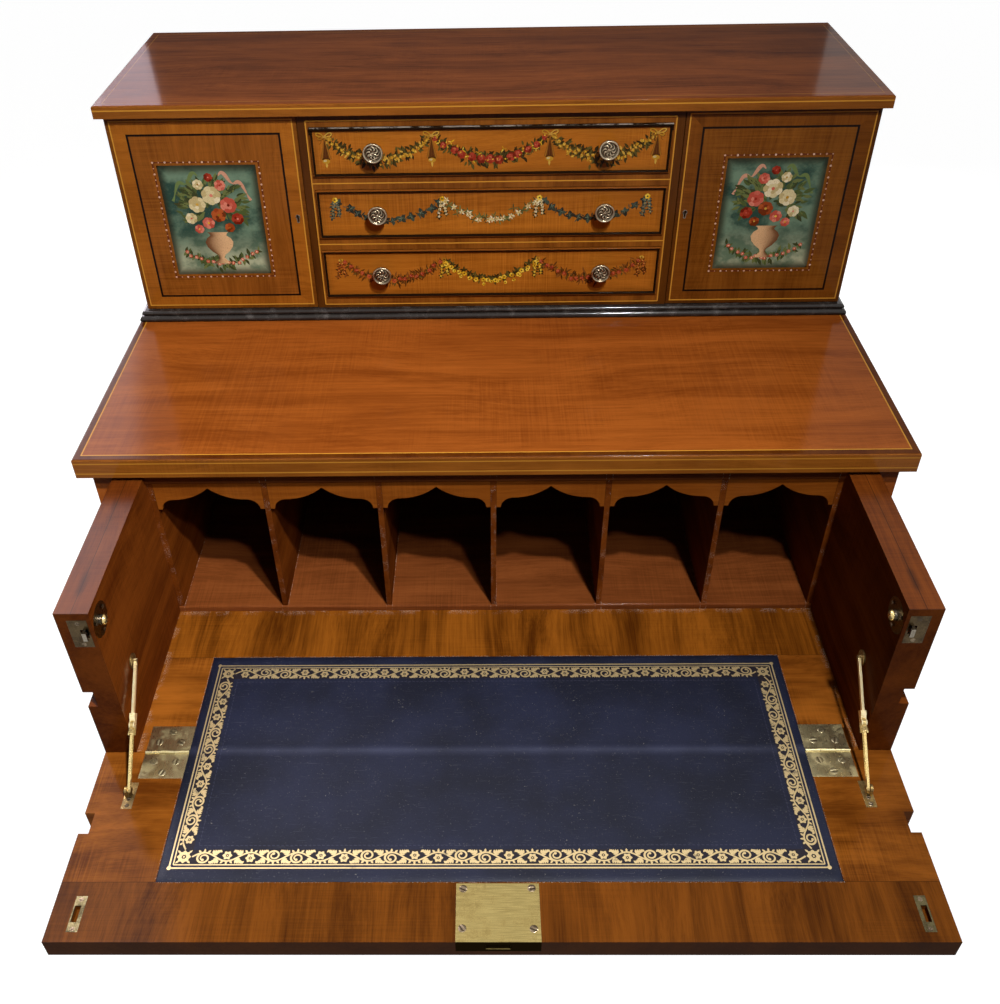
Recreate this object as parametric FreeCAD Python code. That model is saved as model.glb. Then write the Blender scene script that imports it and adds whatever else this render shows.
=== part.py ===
import FreeCAD, Part
import math
import os
from FreeCAD import Vector

# Escritoire: a case on tapered legs with a writing drawer drawn out and its fall let down,
# and a small cabinet of drawers and cupboards standing at the back of the case.
# X is to the sitter's right, Y runs to the back and Z is up.
# The origin is on the floor, under the middle of the desk as it stands open.

# Shared clearances
running_gap = 0.3
overrun = 5.0
pin_clearance = 0.05
mortise_slack = 2.0

# Case
writing_height = 720.0
case_width = 866.0
case_depth = 558.0
case_side_thickness = 22.0
case_bottom_thickness = 16.0
back_thickness = 10.0
lower_top_thickness = 24.0
lower_top_overhang = 12.0
lower_top_rounding = 2.0

# Legs and aprons
leg_width = 42.0
leg_ankle_width = 25.0
leg_block_height = 60.0
spade_height = 92.0
spade_bevel_height = 10.0
spade_width = 34.0
spade_toe_width = 25.0
apron_height = 45.0
apron_thickness = 20.0
apron_setback = 2.0

# Writing drawer
drawer_pull = 207.0
drawer_height = 207.0
drawer_side_gap = 1.0
drawer_head_gap = 6.0
drawer_rear_gap = 4.0
drawer_side_thickness = 33.0
drawer_base_thickness = 18.0
drawer_back_thickness = 10.0
groove_rise = 74.0
groove_height = 22.0
groove_depth = 10.0
runner_slack = 1.0
runner_setback = 12.0
leather_rear_reach = 131.0
leather_front_reach = 148.5
leather_thickness = 1.2

# Pigeonholes
well_depth = 205.0
pigeonhole_count = 6
pigeonhole_base_thickness = 8.0
ledge_rounding = 2.6
pigeonhole_top_thickness = 10.0
divider_thickness = 6.0
divider_setback = 1.5
valance_thickness = 6.0
valance_drop = 38.0
valance_shoulder_drop = 24.5
valance_haunch_drop = 21.0
valance_apex_drop = 8.5
valance_foot_width = 5.0
valance_foot_round = 14.0
valance_haunch_share = 0.5
foot_arc_share = math.sqrt(0.5)

# Fall
fall_thickness = 23.0
fall_floor_gap = 4.0
fall_edge_gap = 0.4
fall_notch_slack = 1.0
fall_knob_radius = 16.0
fall_knob_height = 24.0
fall_knob_spread = 230.0

# Fall hinges
fall_hinge_margin = 9.5
fall_leaf_length = 46.0
fall_leaf_width = 33.0
fall_leaf_thickness = 2.0
fall_barrel_radius = 2.3
fall_pin_radius = 1.1
fall_knuckle_count = 3

# Folding stays, with pivots given from the hinge line and the writing surface
stay_head_back = 52.0
stay_head_rise = 84.0
stay_foot_reach = 52.0
stay_foot_rise = 6.5
stay_bar_width = 4.6
stay_bar_thickness = 2.6
stay_eye_radius = 4.4
stay_socket_length = 13.0
stay_socket_width = 8.8
stay_plane_gap = 0.5
stay_wall_gap = 1.0
stay_rivet_radius = 2.0
stay_rivet_head_radius = 3.2
stay_rivet_head_height = 1.0
stay_rosette_radius = 8.0
stay_rosette_thickness = 1.6
stay_plate_length = 31.0
stay_plate_width = 11.0
stay_plate_thickness = 1.5
stay_plate_offset = 14.0
stay_lug_thickness = 2.4

# Spring catches at the top of the drawer sides, and their strikes on the fall
catch_rise = 180.0
catch_back = 19.0
catch_hook_inset = 9.0
catch_hook_thickness = 2.6
catch_hook_height = 10.0
catch_hook_reach = 5.0
catch_hook_tail = 27.0
catch_barb = 1.5
catch_barb_length = 2.2
catch_travel = 2.2
catch_button_radius = 5.0
catch_button_proud = 6.5
catch_button_face_radius = 2.6
catch_button_shoulder = 3.6
catch_plate_width = 19.0
catch_plate_height = 36.0
catch_plate_inset = 4.0
catch_plate_thickness = 2.0
catch_rose_radius = 18.0
catch_rose_thickness = 1.2
catch_clearance = 0.4
strike_width = 10.6
strike_length = 35.0
strike_thickness = 2.0
strike_slot_length = 16.0
strike_pocket_depth = 7.0

# Fall lock and its keep under the top
lock_width = 77.0
lock_length = 57.0
lock_plate_thickness = 2.0
lock_case_width = 66.0
lock_case_length = 48.0
lock_case_depth = 14.0
lock_selvedge_depth = 16.0
lock_bolt_width = 22.0
lock_bolt_thickness = 7.0
lock_bolt_length = 36.0
lock_bolt_inset = 1.0
lock_bolt_depth = 9.0
lock_travel = 12.0
lock_clearance = 0.4
lock_keyhole_back = 28.0
keyhole_radius = 2.2
keyhole_slot_width = 2.2
keyhole_slot_length = 7.0
keep_length = 58.0
keep_width = 18.0
keep_thickness = 2.0

# Small cabinet
moulding_height = 14.0
moulding_projection = 10.0
moulding_inner_width = 22.0
moulding_reed_radius = 4.0
moulding_reed_step = 3.0
cabinet_depth = 274.0
cabinet_height = 242.0
cabinet_side_thickness = 14.0
cabinet_bottom_thickness = 14.0
partition_thickness = 12.0
bay_half_width = 205.0
upper_top_thickness = 14.0
upper_top_overhang = 8.0
upper_top_rounding = 2.0
rail_thickness = 15.0
top_rail_depth = 40.0

# Doors
door_thickness = 16.0
door_gap = 0.8
door_leaf_length = 34.0
door_leaf_width = 11.0
door_leaf_thickness = 1.4
door_barrel_radius = 2.0
door_pin_radius = 1.0
door_knuckle_count = 3
door_hinge_inset = 34.0
door_hinge_proud = 0.6
door_lock_width = 26.0
door_lock_height = 36.0
door_lock_depth = 9.0
door_bolt_length = 20.0
door_bolt_height = 14.0
door_bolt_thickness = 4.4
door_bolt_inset = 1.0
door_bolt_travel = 6.0
door_keyhole_inset = 11.0

# Small drawers, from the bottom to the top
bottom_drawer_height = 64.0
middle_drawer_height = 61.0
top_drawer_height = 58.0
small_drawer_length = 250.0
small_drawer_fit = 0.5
small_front_thickness = 14.0
small_side_thickness = 8.0
small_side_gap = 1.5
small_side_headroom = 7.0
small_floor_thickness = 5.0
small_floor_rise = 4.0
cockbead_thickness = 3.5
cockbead_proud = 2.4
cockbead_depth = 8.0
cockbead_rounding = 1.2
knob_radius = 11.5
knob_height = 14.0
knob_spread = 133.0
knob_rise = 3.0
knob_foot_share = 0.48
knob_neck_share = 0.36
knob_rim_share = 0.86
knob_dish_share = 0.70
knob_neck_height_share = 0.36
knob_edge_height_share = 0.80
knob_dish_height_share = 0.90

# Small hinges and leaves share one running gap between their knuckles
knuckle_gap = 0.2
barrel_relief = 0.3

# Planes that the pieces are set out from
case_half = case_width / 2
case_front = (drawer_pull + drawer_height - case_depth) / 2
case_back = case_front + case_depth
case_inner = case_half - case_side_thickness
hinge_y = case_front - drawer_pull
drawer_half = case_inner - drawer_side_gap
well_half = drawer_half - drawer_side_thickness
leather_half_width = well_half - fall_hinge_margin - fall_leaf_length
drawer_length = case_depth - back_thickness - drawer_rear_gap - fall_thickness
drawer_end = hinge_y + drawer_length
drawer_travel = drawer_pull + fall_thickness
floor_top = writing_height - fall_thickness - fall_floor_gap
leg_top = floor_top - case_bottom_thickness
drawer_head = writing_height + drawer_height
case_head = drawer_head + drawer_head_gap
lower_top_head = case_head + lower_top_thickness
cabinet_foot = lower_top_head + moulding_height
cabinet_head = cabinet_foot + cabinet_height
cabinet_front = case_back - cabinet_depth
door_back = cabinet_front + door_thickness
door_edge = bay_half_width + partition_thickness + door_gap
groove_floor = writing_height + groove_rise
groove_head = groove_floor + groove_height
back_face = case_back - back_thickness
keep_mortise_depth = lock_travel - lock_bolt_inset - drawer_head_gap + mortise_slack
door_mortise_depth = door_bolt_travel - door_bolt_inset - door_gap + mortise_slack

x_axis = Vector(1, 0, 0)
y_axis = Vector(0, 1, 0)
z_axis = Vector(0, 0, 1)


def block(x, y, z):
    return Part.makeBox(x[1] - x[0], y[1] - y[0], z[1] - z[0], Vector(x[0], y[0], z[0]))


def centred(x, y, z, width, depth, height):
    corner = Vector(x - width / 2, y - depth / 2, z - height / 2)
    return Part.makeBox(width, depth, height, corner)


def mirrored(shape):
    return shape.mirror(Vector(), x_axis)


def pair(shape):
    return [shape, mirrored(shape)]


def joined(first, *others):
    return first.fuse(list(others)).removeSplitter()


def x_rod(radius, x, y, z):
    return Part.makeCylinder(radius, x[1] - x[0], Vector(x[0], y, z), x_axis)


def wire(points):
    return Part.makePolygon(points + points[:1])


def rounded(shape, radius, chosen):
    return shape.makeFillet(radius, [edge for edge in shape.Edges if chosen(edge)])


def board_edges(height, back):
    # the front and side edges of a top, at its upper face
    def chosen(edge):
        box = edge.BoundBox
        return min(box.ZMin, box.ZMax) > height - running_gap and box.YMin < back - running_gap
    return chosen


# Legs and case

def taper(x, y, low, high):
    # a square stem between two levels, each given as a height and a width
    (foot, foot_width), (head, head_width) = low, high
    grow = (head_width - foot_width) / 2
    stem = Part.makeWedge(
        0, 0, 0, -grow, -grow,
        foot_width, head - foot, foot_width, foot_width + grow, foot_width + grow,
    )
    stem.rotate(Vector(), x_axis, 90)
    stem.translate(Vector(x - foot_width / 2, y + foot_width / 2, foot))
    return stem


def leg(x, y):
    levels = [
        (0, spade_toe_width),
        (spade_height - spade_bevel_height, spade_width),
        (spade_height, leg_ankle_width),
        (leg_top - leg_block_height, leg_width),
        (leg_top, leg_width),
    ]
    return joined(*[taper(x, y, low, high) for low, high in zip(levels, levels[1:])])


def legs():
    x = case_half - leg_width / 2
    rows = (case_front + leg_width / 2, case_back - leg_width / 2)
    return [leg(side * x, y) for side in (-1, 1) for y in rows]


def aprons():
    z = (leg_top - apron_height, leg_top)
    x = (leg_width - case_half, case_half - leg_width)
    front = case_front + apron_setback
    back = case_back - apron_setback
    side = case_half - apron_setback
    between = (case_front + leg_width, case_back - leg_width)
    return [
        block(x, (front, front + apron_thickness), z),
        block(x, (back - apron_thickness, back), z),
    ] + pair(block((side - apron_thickness, side), between, z))


def case_bottom():
    return block((-case_half, case_half), (case_front, case_back), (leg_top, floor_top))


def case_sides():
    return pair(block((case_inner, case_half), (case_front, case_back), (floor_top, case_head)))


def back_panels():
    y = (back_face, case_back)
    cabinet_inner = case_half - cabinet_side_thickness
    lower = block((-case_inner, case_inner), y, (floor_top, case_head))
    upper = block((-cabinet_inner, cabinet_inner), y, (cabinet_foot, cabinet_head))
    return [lower, upper]


def drawer_runners():
    x = (drawer_half - groove_depth + runner_slack, case_inner)
    z = (groove_floor + runner_slack, groove_head - running_gap)
    return pair(block(x, (case_front + runner_setback, back_face), z))


def keep_centre():
    return hinge_y + drawer_travel - lock_bolt_depth


def bolt_mortise(low, high):
    width = lock_bolt_width + 2 * runner_slack
    depth = lock_bolt_thickness + 2 * runner_slack
    y = keep_centre()
    return block((-width / 2, width / 2), (y - depth / 2, y + depth / 2), (low, high))


def keep_blank():
    y = keep_centre()
    z = (case_head, case_head + keep_thickness)
    return block((-keep_length / 2, keep_length / 2), (y - keep_width / 2, y + keep_width / 2), z)


def lower_top():
    half = case_half + lower_top_overhang
    y = (case_front - lower_top_overhang, case_back)
    board = block((-half, half), y, (case_head, lower_top_head))
    board = rounded(board, lower_top_rounding, board_edges(lower_top_head, case_back))
    return board.cut([keep_blank(), bolt_mortise(case_head, case_head + keep_mortise_depth)])


def lock_keep():
    return keep_blank().cut(bolt_mortise(case_head - overrun, case_head + keep_mortise_depth))


# Hinges: a leaf lies along local X with its barrel on the axis, its plate towards +Y and its face up

def hinge_leaf(length, width, thickness, barrel, pin, count, parity):
    leaf = block((0, length), (0, width), (-thickness, 0))
    step = length / count
    for number in range(count):
        ends = (number * step + knuckle_gap / 2, (number + 1) * step - knuckle_gap / 2)
        if number % 2 == parity:
            leaf = leaf.fuse(x_rod(barrel, ends, 0, 0))
        else:
            free = (number * step - knuckle_gap / 2, (number + 1) * step + knuckle_gap / 2)
            reach = barrel + barrel_relief
            leaf = leaf.cut(block(free, (-reach, reach), (-reach, reach)))
    bore = x_rod(pin + pin_clearance, (-overrun, length + overrun), 0, 0)
    return leaf.cut(bore).removeSplitter()


def hinge_room(length, width, thickness, barrel):
    # a shallow recess for the plate, with a deeper trench for the barrel
    reach = barrel + barrel_relief
    plate = block((0, length), (0, width), (-thickness, 0))
    return plate.fuse(block((-knuckle_gap, length + knuckle_gap), (-reach, reach), (-reach, reach)))


def fall_leaf(parity, shape=hinge_leaf):
    sizes = [fall_leaf_length, fall_leaf_width, fall_leaf_thickness, fall_barrel_radius]
    if shape is hinge_leaf:
        sizes += [fall_pin_radius, fall_knuckle_count, parity]
    leaf = shape(*sizes)
    if parity == 0:
        leaf = leaf.mirror(Vector(), y_axis)
    leaf.translate(Vector(leather_half_width, hinge_y, writing_height))
    return leaf


def fall_hinge_rear_leaves():
    pin = x_rod(fall_pin_radius, (0, fall_leaf_length), 0, 0)
    pin.translate(Vector(leather_half_width, hinge_y, writing_height))
    return pair(fall_leaf(1)) + pair(pin)


def fall_hinge_front_leaves():
    return pair(fall_leaf(0))


def fall_hinge_rooms(parity):
    return pair(fall_leaf(parity, hinge_room))


# Writing drawer

def leather_room(y):
    x = (-leather_half_width, leather_half_width)
    return block(x, y, (writing_height - leather_thickness, writing_height))


def drawer_leather():
    return leather_room((hinge_y + fall_edge_gap, hinge_y + leather_rear_reach))


def fall_leather():
    return leather_room((hinge_y - leather_front_reach, hinge_y - fall_edge_gap))


def writing_drawer_base():
    z = (writing_height - drawer_base_thickness, writing_height)
    board = block((-well_half, well_half), (hinge_y, drawer_end), z)
    leather = leather_room((hinge_y - overrun, hinge_y + leather_rear_reach))
    return board.cut([leather] + fall_hinge_rooms(1))


def catch_centre():
    return Vector(well_half + catch_hook_inset, hinge_y + catch_back, writing_height + catch_rise)


def catch_front_plate():
    x = (well_half + catch_plate_inset, well_half + catch_plate_inset + catch_plate_width)
    z = writing_height + catch_rise
    half = catch_plate_height / 2
    return block(x, (hinge_y, hinge_y + catch_plate_thickness), (z - half, z + half))


def catch_rose():
    at = catch_centre()
    return x_rod(catch_rose_radius, (well_half, well_half + catch_rose_thickness), at.y, at.z)


def catch_slot(front, back):
    # the room that the hook needs through its travel
    at = catch_centre()
    side = catch_hook_thickness / 2 + catch_clearance
    x = (at.x - side - catch_barb, at.x + side + catch_travel)
    half = catch_hook_height / 2 + catch_clearance
    return block(x, (front, back), (at.z - half, at.z + half))


def button_bore(inner, outer):
    at = catch_centre()
    return x_rod(catch_button_radius + catch_clearance, (inner, outer), at.y, at.z)


def catch_plates():
    through = catch_slot(hinge_y - overrun, hinge_y + catch_plate_thickness + overrun)
    front = catch_front_plate().cut(through)
    rose = catch_rose().cut(button_bore(well_half - overrun, well_half + catch_rose_thickness + overrun))
    return pair(front) + pair(rose)


def writing_drawer_side():
    z = (writing_height - drawer_base_thickness, drawer_head)
    board = block((well_half, drawer_half), (hinge_y, drawer_end), z)
    groove = block(
        (drawer_half - groove_depth, drawer_half + overrun),
        (hinge_y - overrun, drawer_end + overrun),
        (groove_floor, groove_head),
    )
    slot = catch_slot(hinge_y - overrun, hinge_y + catch_hook_tail + catch_clearance)
    bore = button_bore(well_half - overrun, catch_centre().x)
    return board.cut([groove, catch_front_plate(), catch_rose(), slot, bore])


def writing_drawer_sides():
    return pair(writing_drawer_side())


def writing_drawer_back():
    y = (drawer_end - drawer_back_thickness, drawer_end)
    return block((-well_half, well_half), y, (writing_height, drawer_head))


# Pigeonholes

def pigeonhole_span():
    return (hinge_y + well_depth, drawer_end - drawer_back_thickness)


def pigeonhole_boards():
    x = (-well_half, well_half)
    y = pigeonhole_span()
    base = block(x, y, (writing_height, writing_height + pigeonhole_base_thickness))
    base = rounded(base, ledge_rounding, ledge_edge)
    top = block(x, y, (drawer_head - pigeonhole_top_thickness, drawer_head))
    return [base, top]


def ledge_edge(edge):
    box = edge.BoundBox
    front = box.YMax < pigeonhole_span()[0] + running_gap
    return front and box.ZMin > writing_height + running_gap and box.XLength > running_gap


def divider_pitch():
    return (2 * well_half - divider_thickness) / pigeonhole_count


def divider_places():
    first = divider_thickness / 2 - well_half
    return [first + number * divider_pitch() for number in range(pigeonhole_count + 1)]


def pigeonhole_dividers():
    front, back = pigeonhole_span()
    z = (writing_height + pigeonhole_base_thickness, drawer_head - pigeonhole_top_thickness)
    half = divider_thickness / 2
    return [block((x - half, x + half), (front + divider_setback, back), z) for x in divider_places()]


def valance(middle):
    half = (divider_pitch() - divider_thickness) / 2
    head = drawer_head - pigeonhole_top_thickness
    y = pigeonhole_span()[0] + divider_setback

    def point(across, drop):
        return Vector(middle + across, y, head - drop)

    def arch(side):
        # a quarter round above the foot, then a hollow curve up to the point
        foot = side * (half - valance_foot_width)
        shoulder = foot - side * valance_foot_round
        inside = shoulder + (foot - shoulder) * foot_arc_share
        rise = valance_drop - valance_shoulder_drop
        bulge = valance_shoulder_drop + rise * (1 - foot_arc_share)
        turn = point(shoulder, valance_shoulder_drop)
        quarter = Part.Arc(point(foot, valance_drop), point(inside, bulge), turn)
        haunch = point(shoulder * valance_haunch_share, valance_haunch_drop)
        hollow = Part.Arc(turn, haunch, point(0, valance_apex_drop))
        return [quarter.toShape(), hollow.toShape()]

    def line(first, second):
        return Part.LineSegment(first, second).toShape()

    foot = half - valance_foot_width
    straight = [
        line(point(-foot, valance_drop), point(-half, valance_drop)),
        line(point(-half, valance_drop), point(-half, 0)),
        line(point(-half, 0), point(half, 0)),
        line(point(half, 0), point(half, valance_drop)),
        line(point(half, valance_drop), point(foot, valance_drop)),
    ]
    outline = Part.Wire(Part.__sortEdges__(straight + arch(-1) + arch(1)))
    return Part.Face(outline).extrude(Vector(0, valance_thickness, 0))


def pigeonhole_valances():
    places = divider_places()
    return [valance((left + right) / 2) for left, right in zip(places, places[1:])]


# Fall

def strike_centre():
    return Vector(catch_centre().x, hinge_y - catch_rise, writing_height)


def strike_blank():
    at = strike_centre()
    return centred(at.x, at.y, at.z - strike_thickness / 2, strike_width, strike_length, strike_thickness)


def strike_slot(depth):
    at = strike_centre()
    side = catch_hook_thickness / 2 + catch_clearance
    x = (at.x - side, at.x + side + catch_travel)
    half = strike_slot_length / 2
    return block(x, (at.y - half, at.y + half), (at.z - depth, at.z + overrun))


def strike_pocket():
    at = strike_centre()
    side = catch_hook_thickness / 2 + catch_clearance
    x = (at.x - side - catch_barb, at.x + side + catch_travel)
    half = strike_slot_length / 2
    return block(x, (at.y - half, at.y + half), (at.z - strike_pocket_depth, at.z))


def fall_strikes():
    return pair(strike_blank().cut(strike_slot(strike_thickness + overrun)))


def lock_room():
    front = hinge_y - drawer_height
    plate = block(
        (-lock_width / 2, lock_width / 2),
        (front, front + lock_length),
        (writing_height - lock_plate_thickness, writing_height),
    )
    case = block(
        (-lock_case_width / 2, lock_case_width / 2),
        (front, front + lock_case_length),
        (writing_height - lock_case_depth, writing_height),
    )
    selvedge = block(
        (-lock_width / 2, lock_width / 2),
        (front, front + lock_plate_thickness),
        (writing_height - lock_selvedge_depth, writing_height),
    )
    return joined(plate, case, selvedge)


def bolt_bar(clearance, inset, extra):
    front = hinge_y - drawer_height + inset
    z = writing_height - lock_bolt_depth
    width = lock_bolt_width / 2 + clearance
    half = lock_bolt_thickness / 2 + clearance
    return block((-width, width), (front, front + lock_bolt_length + extra), (z - half, z + half))


def fall_lock():
    return lock_room().cut(bolt_bar(lock_clearance, -overrun, overrun + lock_bolt_inset + lock_clearance))


def fall_lock_bolt():
    return bolt_bar(0, lock_bolt_inset, 0)


def keyhole(x, y, z, axis, drop, depth):
    # a round hole with a slot below it
    shaft = Part.makeCylinder(keyhole_radius, depth, Vector(x, y, z), axis)
    half = keyhole_slot_width / 2
    ends = [Vector(x - half, y, z), Vector(x + half, y, z)]
    corners = ends + [end + drop * keyhole_slot_length for end in reversed(ends)]
    return shaft.fuse(Part.Face(wire(corners)).extrude(axis * depth))


def fall_board():
    front = hinge_y - drawer_height
    z = (writing_height - fall_thickness, writing_height)
    board = block((-drawer_half, drawer_half), (front, hinge_y - fall_edge_gap), z)
    under = writing_height - fall_thickness - overrun
    notch = block(
        (drawer_half - groove_depth, drawer_half + overrun),
        (hinge_y - groove_rise - groove_height - fall_notch_slack, hinge_y - groove_rise),
        (under, writing_height + overrun),
    )
    leather = leather_room((hinge_y - leather_front_reach, hinge_y + overrun))
    key = keyhole(0, front + lock_keyhole_back, under, z_axis, y_axis, fall_thickness)
    cuts = pair(notch) + [leather, lock_room(), key] + fall_hinge_rooms(0)
    cuts += pair(strike_blank()) + pair(strike_pocket()) + pair(stay_plate())
    return board.cut(cuts)


def turned_knob(radius, height):
    # half profile of a round knob: flared foot, neck, swelling head and a dished face in a raised rim
    def point(radius_share, height_share):
        return Vector(radius * radius_share, 0, height * height_share)

    def line(first, second):
        return Part.LineSegment(first, second).toShape()

    foot = point(knob_foot_share, 0)
    neck = point(knob_neck_share, knob_neck_height_share)
    edge = point(1, knob_edge_height_share)
    rim = point(knob_rim_share, 1)
    dish = point(knob_dish_share, knob_dish_height_share)
    centre = point(0, knob_dish_height_share)
    outline = [point(0, 0), foot, neck, edge, rim, dish, centre]
    edges = [line(first, second) for first, second in zip(outline, outline[1:] + outline[:1])]
    return Part.Face(Part.Wire(edges)).revolve(Vector(), z_axis, 360)


def fall_knobs():
    knob = turned_knob(fall_knob_radius, fall_knob_height)
    knob.rotate(Vector(), x_axis, 180)
    knob.translate(Vector(fall_knob_spread, hinge_y - drawer_height / 2, writing_height - fall_thickness))
    return pair(knob)


# Stays

def stay_planes():
    # the upper arm runs next to the drawer side, and the lower arm inside it
    upper = well_half - stay_rosette_thickness - stay_wall_gap - stay_bar_thickness
    lower = upper - stay_plane_gap - stay_bar_thickness
    return upper, lower


def stay_head():
    return Vector(0, hinge_y + stay_head_back, writing_height + stay_head_rise)


def stay_foot():
    return Vector(0, hinge_y - stay_foot_reach, writing_height + stay_foot_rise)


def stay_arm(start, end, plane, head_outside):
    # an eye on its pivot, a slim bar, and a socket at the middle joint with half of the rivet
    length = (end - start).Length
    x = (plane, plane + stay_bar_thickness)
    half_bar = stay_bar_width / 2
    half_socket = stay_socket_width / 2
    bar = block(x, (0, length), (-half_bar, half_bar))
    socket = block(x, (length - stay_socket_length, length), (-half_socket, half_socket))
    arm = joined(
        x_rod(stay_eye_radius, x, 0, 0), bar, socket, x_rod(half_socket, x, length, 0)
    )
    head = (x[1], x[1] + stay_rivet_head_height) if head_outside else (x[0] - stay_rivet_head_height, x[0])
    arm = arm.fuse(x_rod(stay_rivet_head_radius, head, length, 0))
    arm = arm.cut(x_rod(stay_rivet_radius + pin_clearance, (x[0] - overrun, x[1] + overrun), 0, 0))
    turn = math.degrees(math.atan2(end.z - start.z, end.y - start.y))
    arm.rotate(Vector(), x_axis, turn)
    arm.translate(start)
    return arm.removeSplitter()


def stay_upper_right():
    middle = (stay_head() + stay_foot()) / 2
    return stay_arm(stay_head(), middle, stay_planes()[0], True)


def stay_lower_right():
    middle = (stay_head() + stay_foot()) / 2
    return stay_arm(stay_foot(), middle, stay_planes()[1], False)


def stay_studs():
    at = stay_head()
    plane = stay_planes()[0]
    rosette = x_rod(stay_rosette_radius, (well_half - stay_rosette_thickness, well_half), at.y, at.z)
    stud = x_rod(stay_rivet_radius, (plane - running_gap, well_half), at.y, at.z)
    collar = x_rod(stay_rivet_head_radius, (plane + stay_bar_thickness + running_gap, well_half), at.y, at.z)
    return pair(joined(rosette, stud, collar))


def stay_plate():
    at = stay_foot()
    outer = well_half - stay_wall_gap
    back = at.y + stay_plate_offset
    x = (outer - stay_plate_width, outer)
    return block(x, (back - stay_plate_length, back), (writing_height - stay_plate_thickness, writing_height))


def fall_stay_lugs():
    # the ear stands outside the lower arm and carries its pin
    at = stay_foot()
    plane = stay_planes()[1]
    inner = plane + stay_bar_thickness + running_gap
    ear = (inner, inner + stay_lug_thickness)
    disc = x_rod(stay_eye_radius, ear, at.y, at.z)
    foot = block(ear, (at.y - stay_eye_radius, at.y + stay_eye_radius), (writing_height, at.z))
    pin = x_rod(stay_rivet_radius, (plane - running_gap, ear[1]), at.y, at.z)
    head = (plane - running_gap - stay_rivet_head_height, plane - running_gap)
    cap = x_rod(stay_rivet_head_radius, head, at.y, at.z)
    return pair(joined(stay_plate(), disc, foot, pin, cap))


# Catches

def catch_right():
    at = catch_centre()
    half = catch_hook_thickness / 2
    z = (at.z - catch_hook_height / 2, at.z + catch_hook_height / 2)
    x = (at.x - half, at.x + half)
    bar = block(x, (hinge_y - catch_hook_reach, hinge_y + catch_hook_tail), z)
    front = hinge_y - catch_hook_reach
    barb = block((x[0] - catch_barb, x[0]), (front, front + catch_barb_length), z)
    shoulder = well_half - catch_button_shoulder
    stem = x_rod(catch_button_radius, (shoulder, at.x), at.y, at.z)
    crown = catch_button_proud - catch_button_shoulder
    start = Vector(shoulder, at.y, at.z)
    cap = Part.makeCone(catch_button_radius, catch_button_face_radius, crown, start, Vector(-1, 0, 0))
    return joined(bar, barb, stem, cap)


# Small cabinet

def moulding_profile(y):
    upper = moulding_projection - moulding_reed_step
    step = 2 * moulding_reed_radius
    small = (moulding_height - step) / 2

    def point(out, rise):
        return Vector(0, y - out, lower_top_head + rise)

    def line(first, second):
        return Part.LineSegment(first, second).toShape()

    lower_arc = Part.Arc(
        point(moulding_projection - moulding_reed_radius, 0),
        point(moulding_projection, moulding_reed_radius),
        point(moulding_projection - moulding_reed_radius, step),
    )
    upper_arc = Part.Arc(
        point(upper - small, step), point(upper, step + small), point(upper - small, moulding_height)
    )
    edges = [
        line(point(-moulding_inner_width, 0), point(moulding_projection - moulding_reed_radius, 0)),
        lower_arc.toShape(),
        line(point(moulding_projection - moulding_reed_radius, step), point(upper - small, step)),
        upper_arc.toShape(),
        line(point(upper - small, moulding_height), point(-moulding_inner_width, moulding_height)),
        line(point(-moulding_inner_width, moulding_height), point(-moulding_inner_width, 0)),
    ]
    return Part.Face(Part.Wire(edges))


def plan_prism(points):
    corners = [Vector(x, y, lower_top_head) for x, y in points]
    return Part.Face(wire(corners)).extrude(Vector(0, 0, moulding_height))


def base_moulding():
    # three strips with mitred corners
    outer = case_half + moulding_projection
    inner = case_half - moulding_inner_width
    front = cabinet_front - moulding_projection
    mitre = cabinet_front + moulding_inner_width
    strip = moulding_profile(cabinet_front).extrude(Vector(2 * outer, 0, 0))
    strip.translate(Vector(-outer, 0, 0))
    front_strip = strip.common(
        plan_prism([(-outer, front), (outer, front), (inner, mitre), (-inner, mitre)])
    )
    side = moulding_profile(0)
    side.rotate(Vector(), z_axis, 90)
    side.translate(Vector(case_half, front, 0))
    side = side.extrude(Vector(0, case_back - front, 0))
    side_strip = side.common(
        plan_prism([(outer, front), (outer, case_back), (inner, case_back), (inner, mitre)])
    )
    return [front_strip] + pair(side_strip)


def cabinet_bottom():
    inner = case_half - cabinet_side_thickness
    z = (cabinet_foot, cabinet_foot + cabinet_bottom_thickness)
    board = block((-inner, inner), (door_back, back_face), z)
    tongue = block((-bay_half_width, bay_half_width), (cabinet_front, door_back), z)
    return joined(board, tongue)


def door_axis():
    return Vector(case_half + door_hinge_proud, door_back, 0)


def door_hinge_places():
    low = cabinet_foot + door_hinge_inset
    high = cabinet_head - door_hinge_inset - door_leaf_length
    return (low, high)


def door_leaf(parity, z, shape=hinge_leaf):
    # stood upright on the hinge line, with the plate lying inwards
    sizes = [door_leaf_length, door_leaf_width + door_hinge_proud, door_leaf_thickness, door_barrel_radius]
    if shape is hinge_leaf:
        sizes += [door_pin_radius, door_knuckle_count, parity]
    leaf = shape(*sizes)
    leaf.rotate(Vector(), y_axis, -90)
    leaf.rotate(Vector(), z_axis, 90)
    if parity == 1:
        leaf = leaf.mirror(Vector(), y_axis)
    leaf.translate(door_axis() + Vector(0, 0, z))
    return leaf


def door_hinge_fixed_leaves():
    found = []
    for z in door_hinge_places():
        pin = Part.makeCylinder(door_pin_radius, door_leaf_length, door_axis() + Vector(0, 0, z), z_axis)
        found += pair(door_leaf(0, z)) + pair(pin)
    return found


def cabinet_sides():
    x = (case_half - cabinet_side_thickness, case_half)
    board = block(x, (door_back, case_back), (cabinet_foot, cabinet_head))
    return pair(board.cut([door_leaf(0, z, hinge_room) for z in door_hinge_places()]))


def door_middle():
    return (cabinet_foot + cabinet_head) / 2


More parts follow.
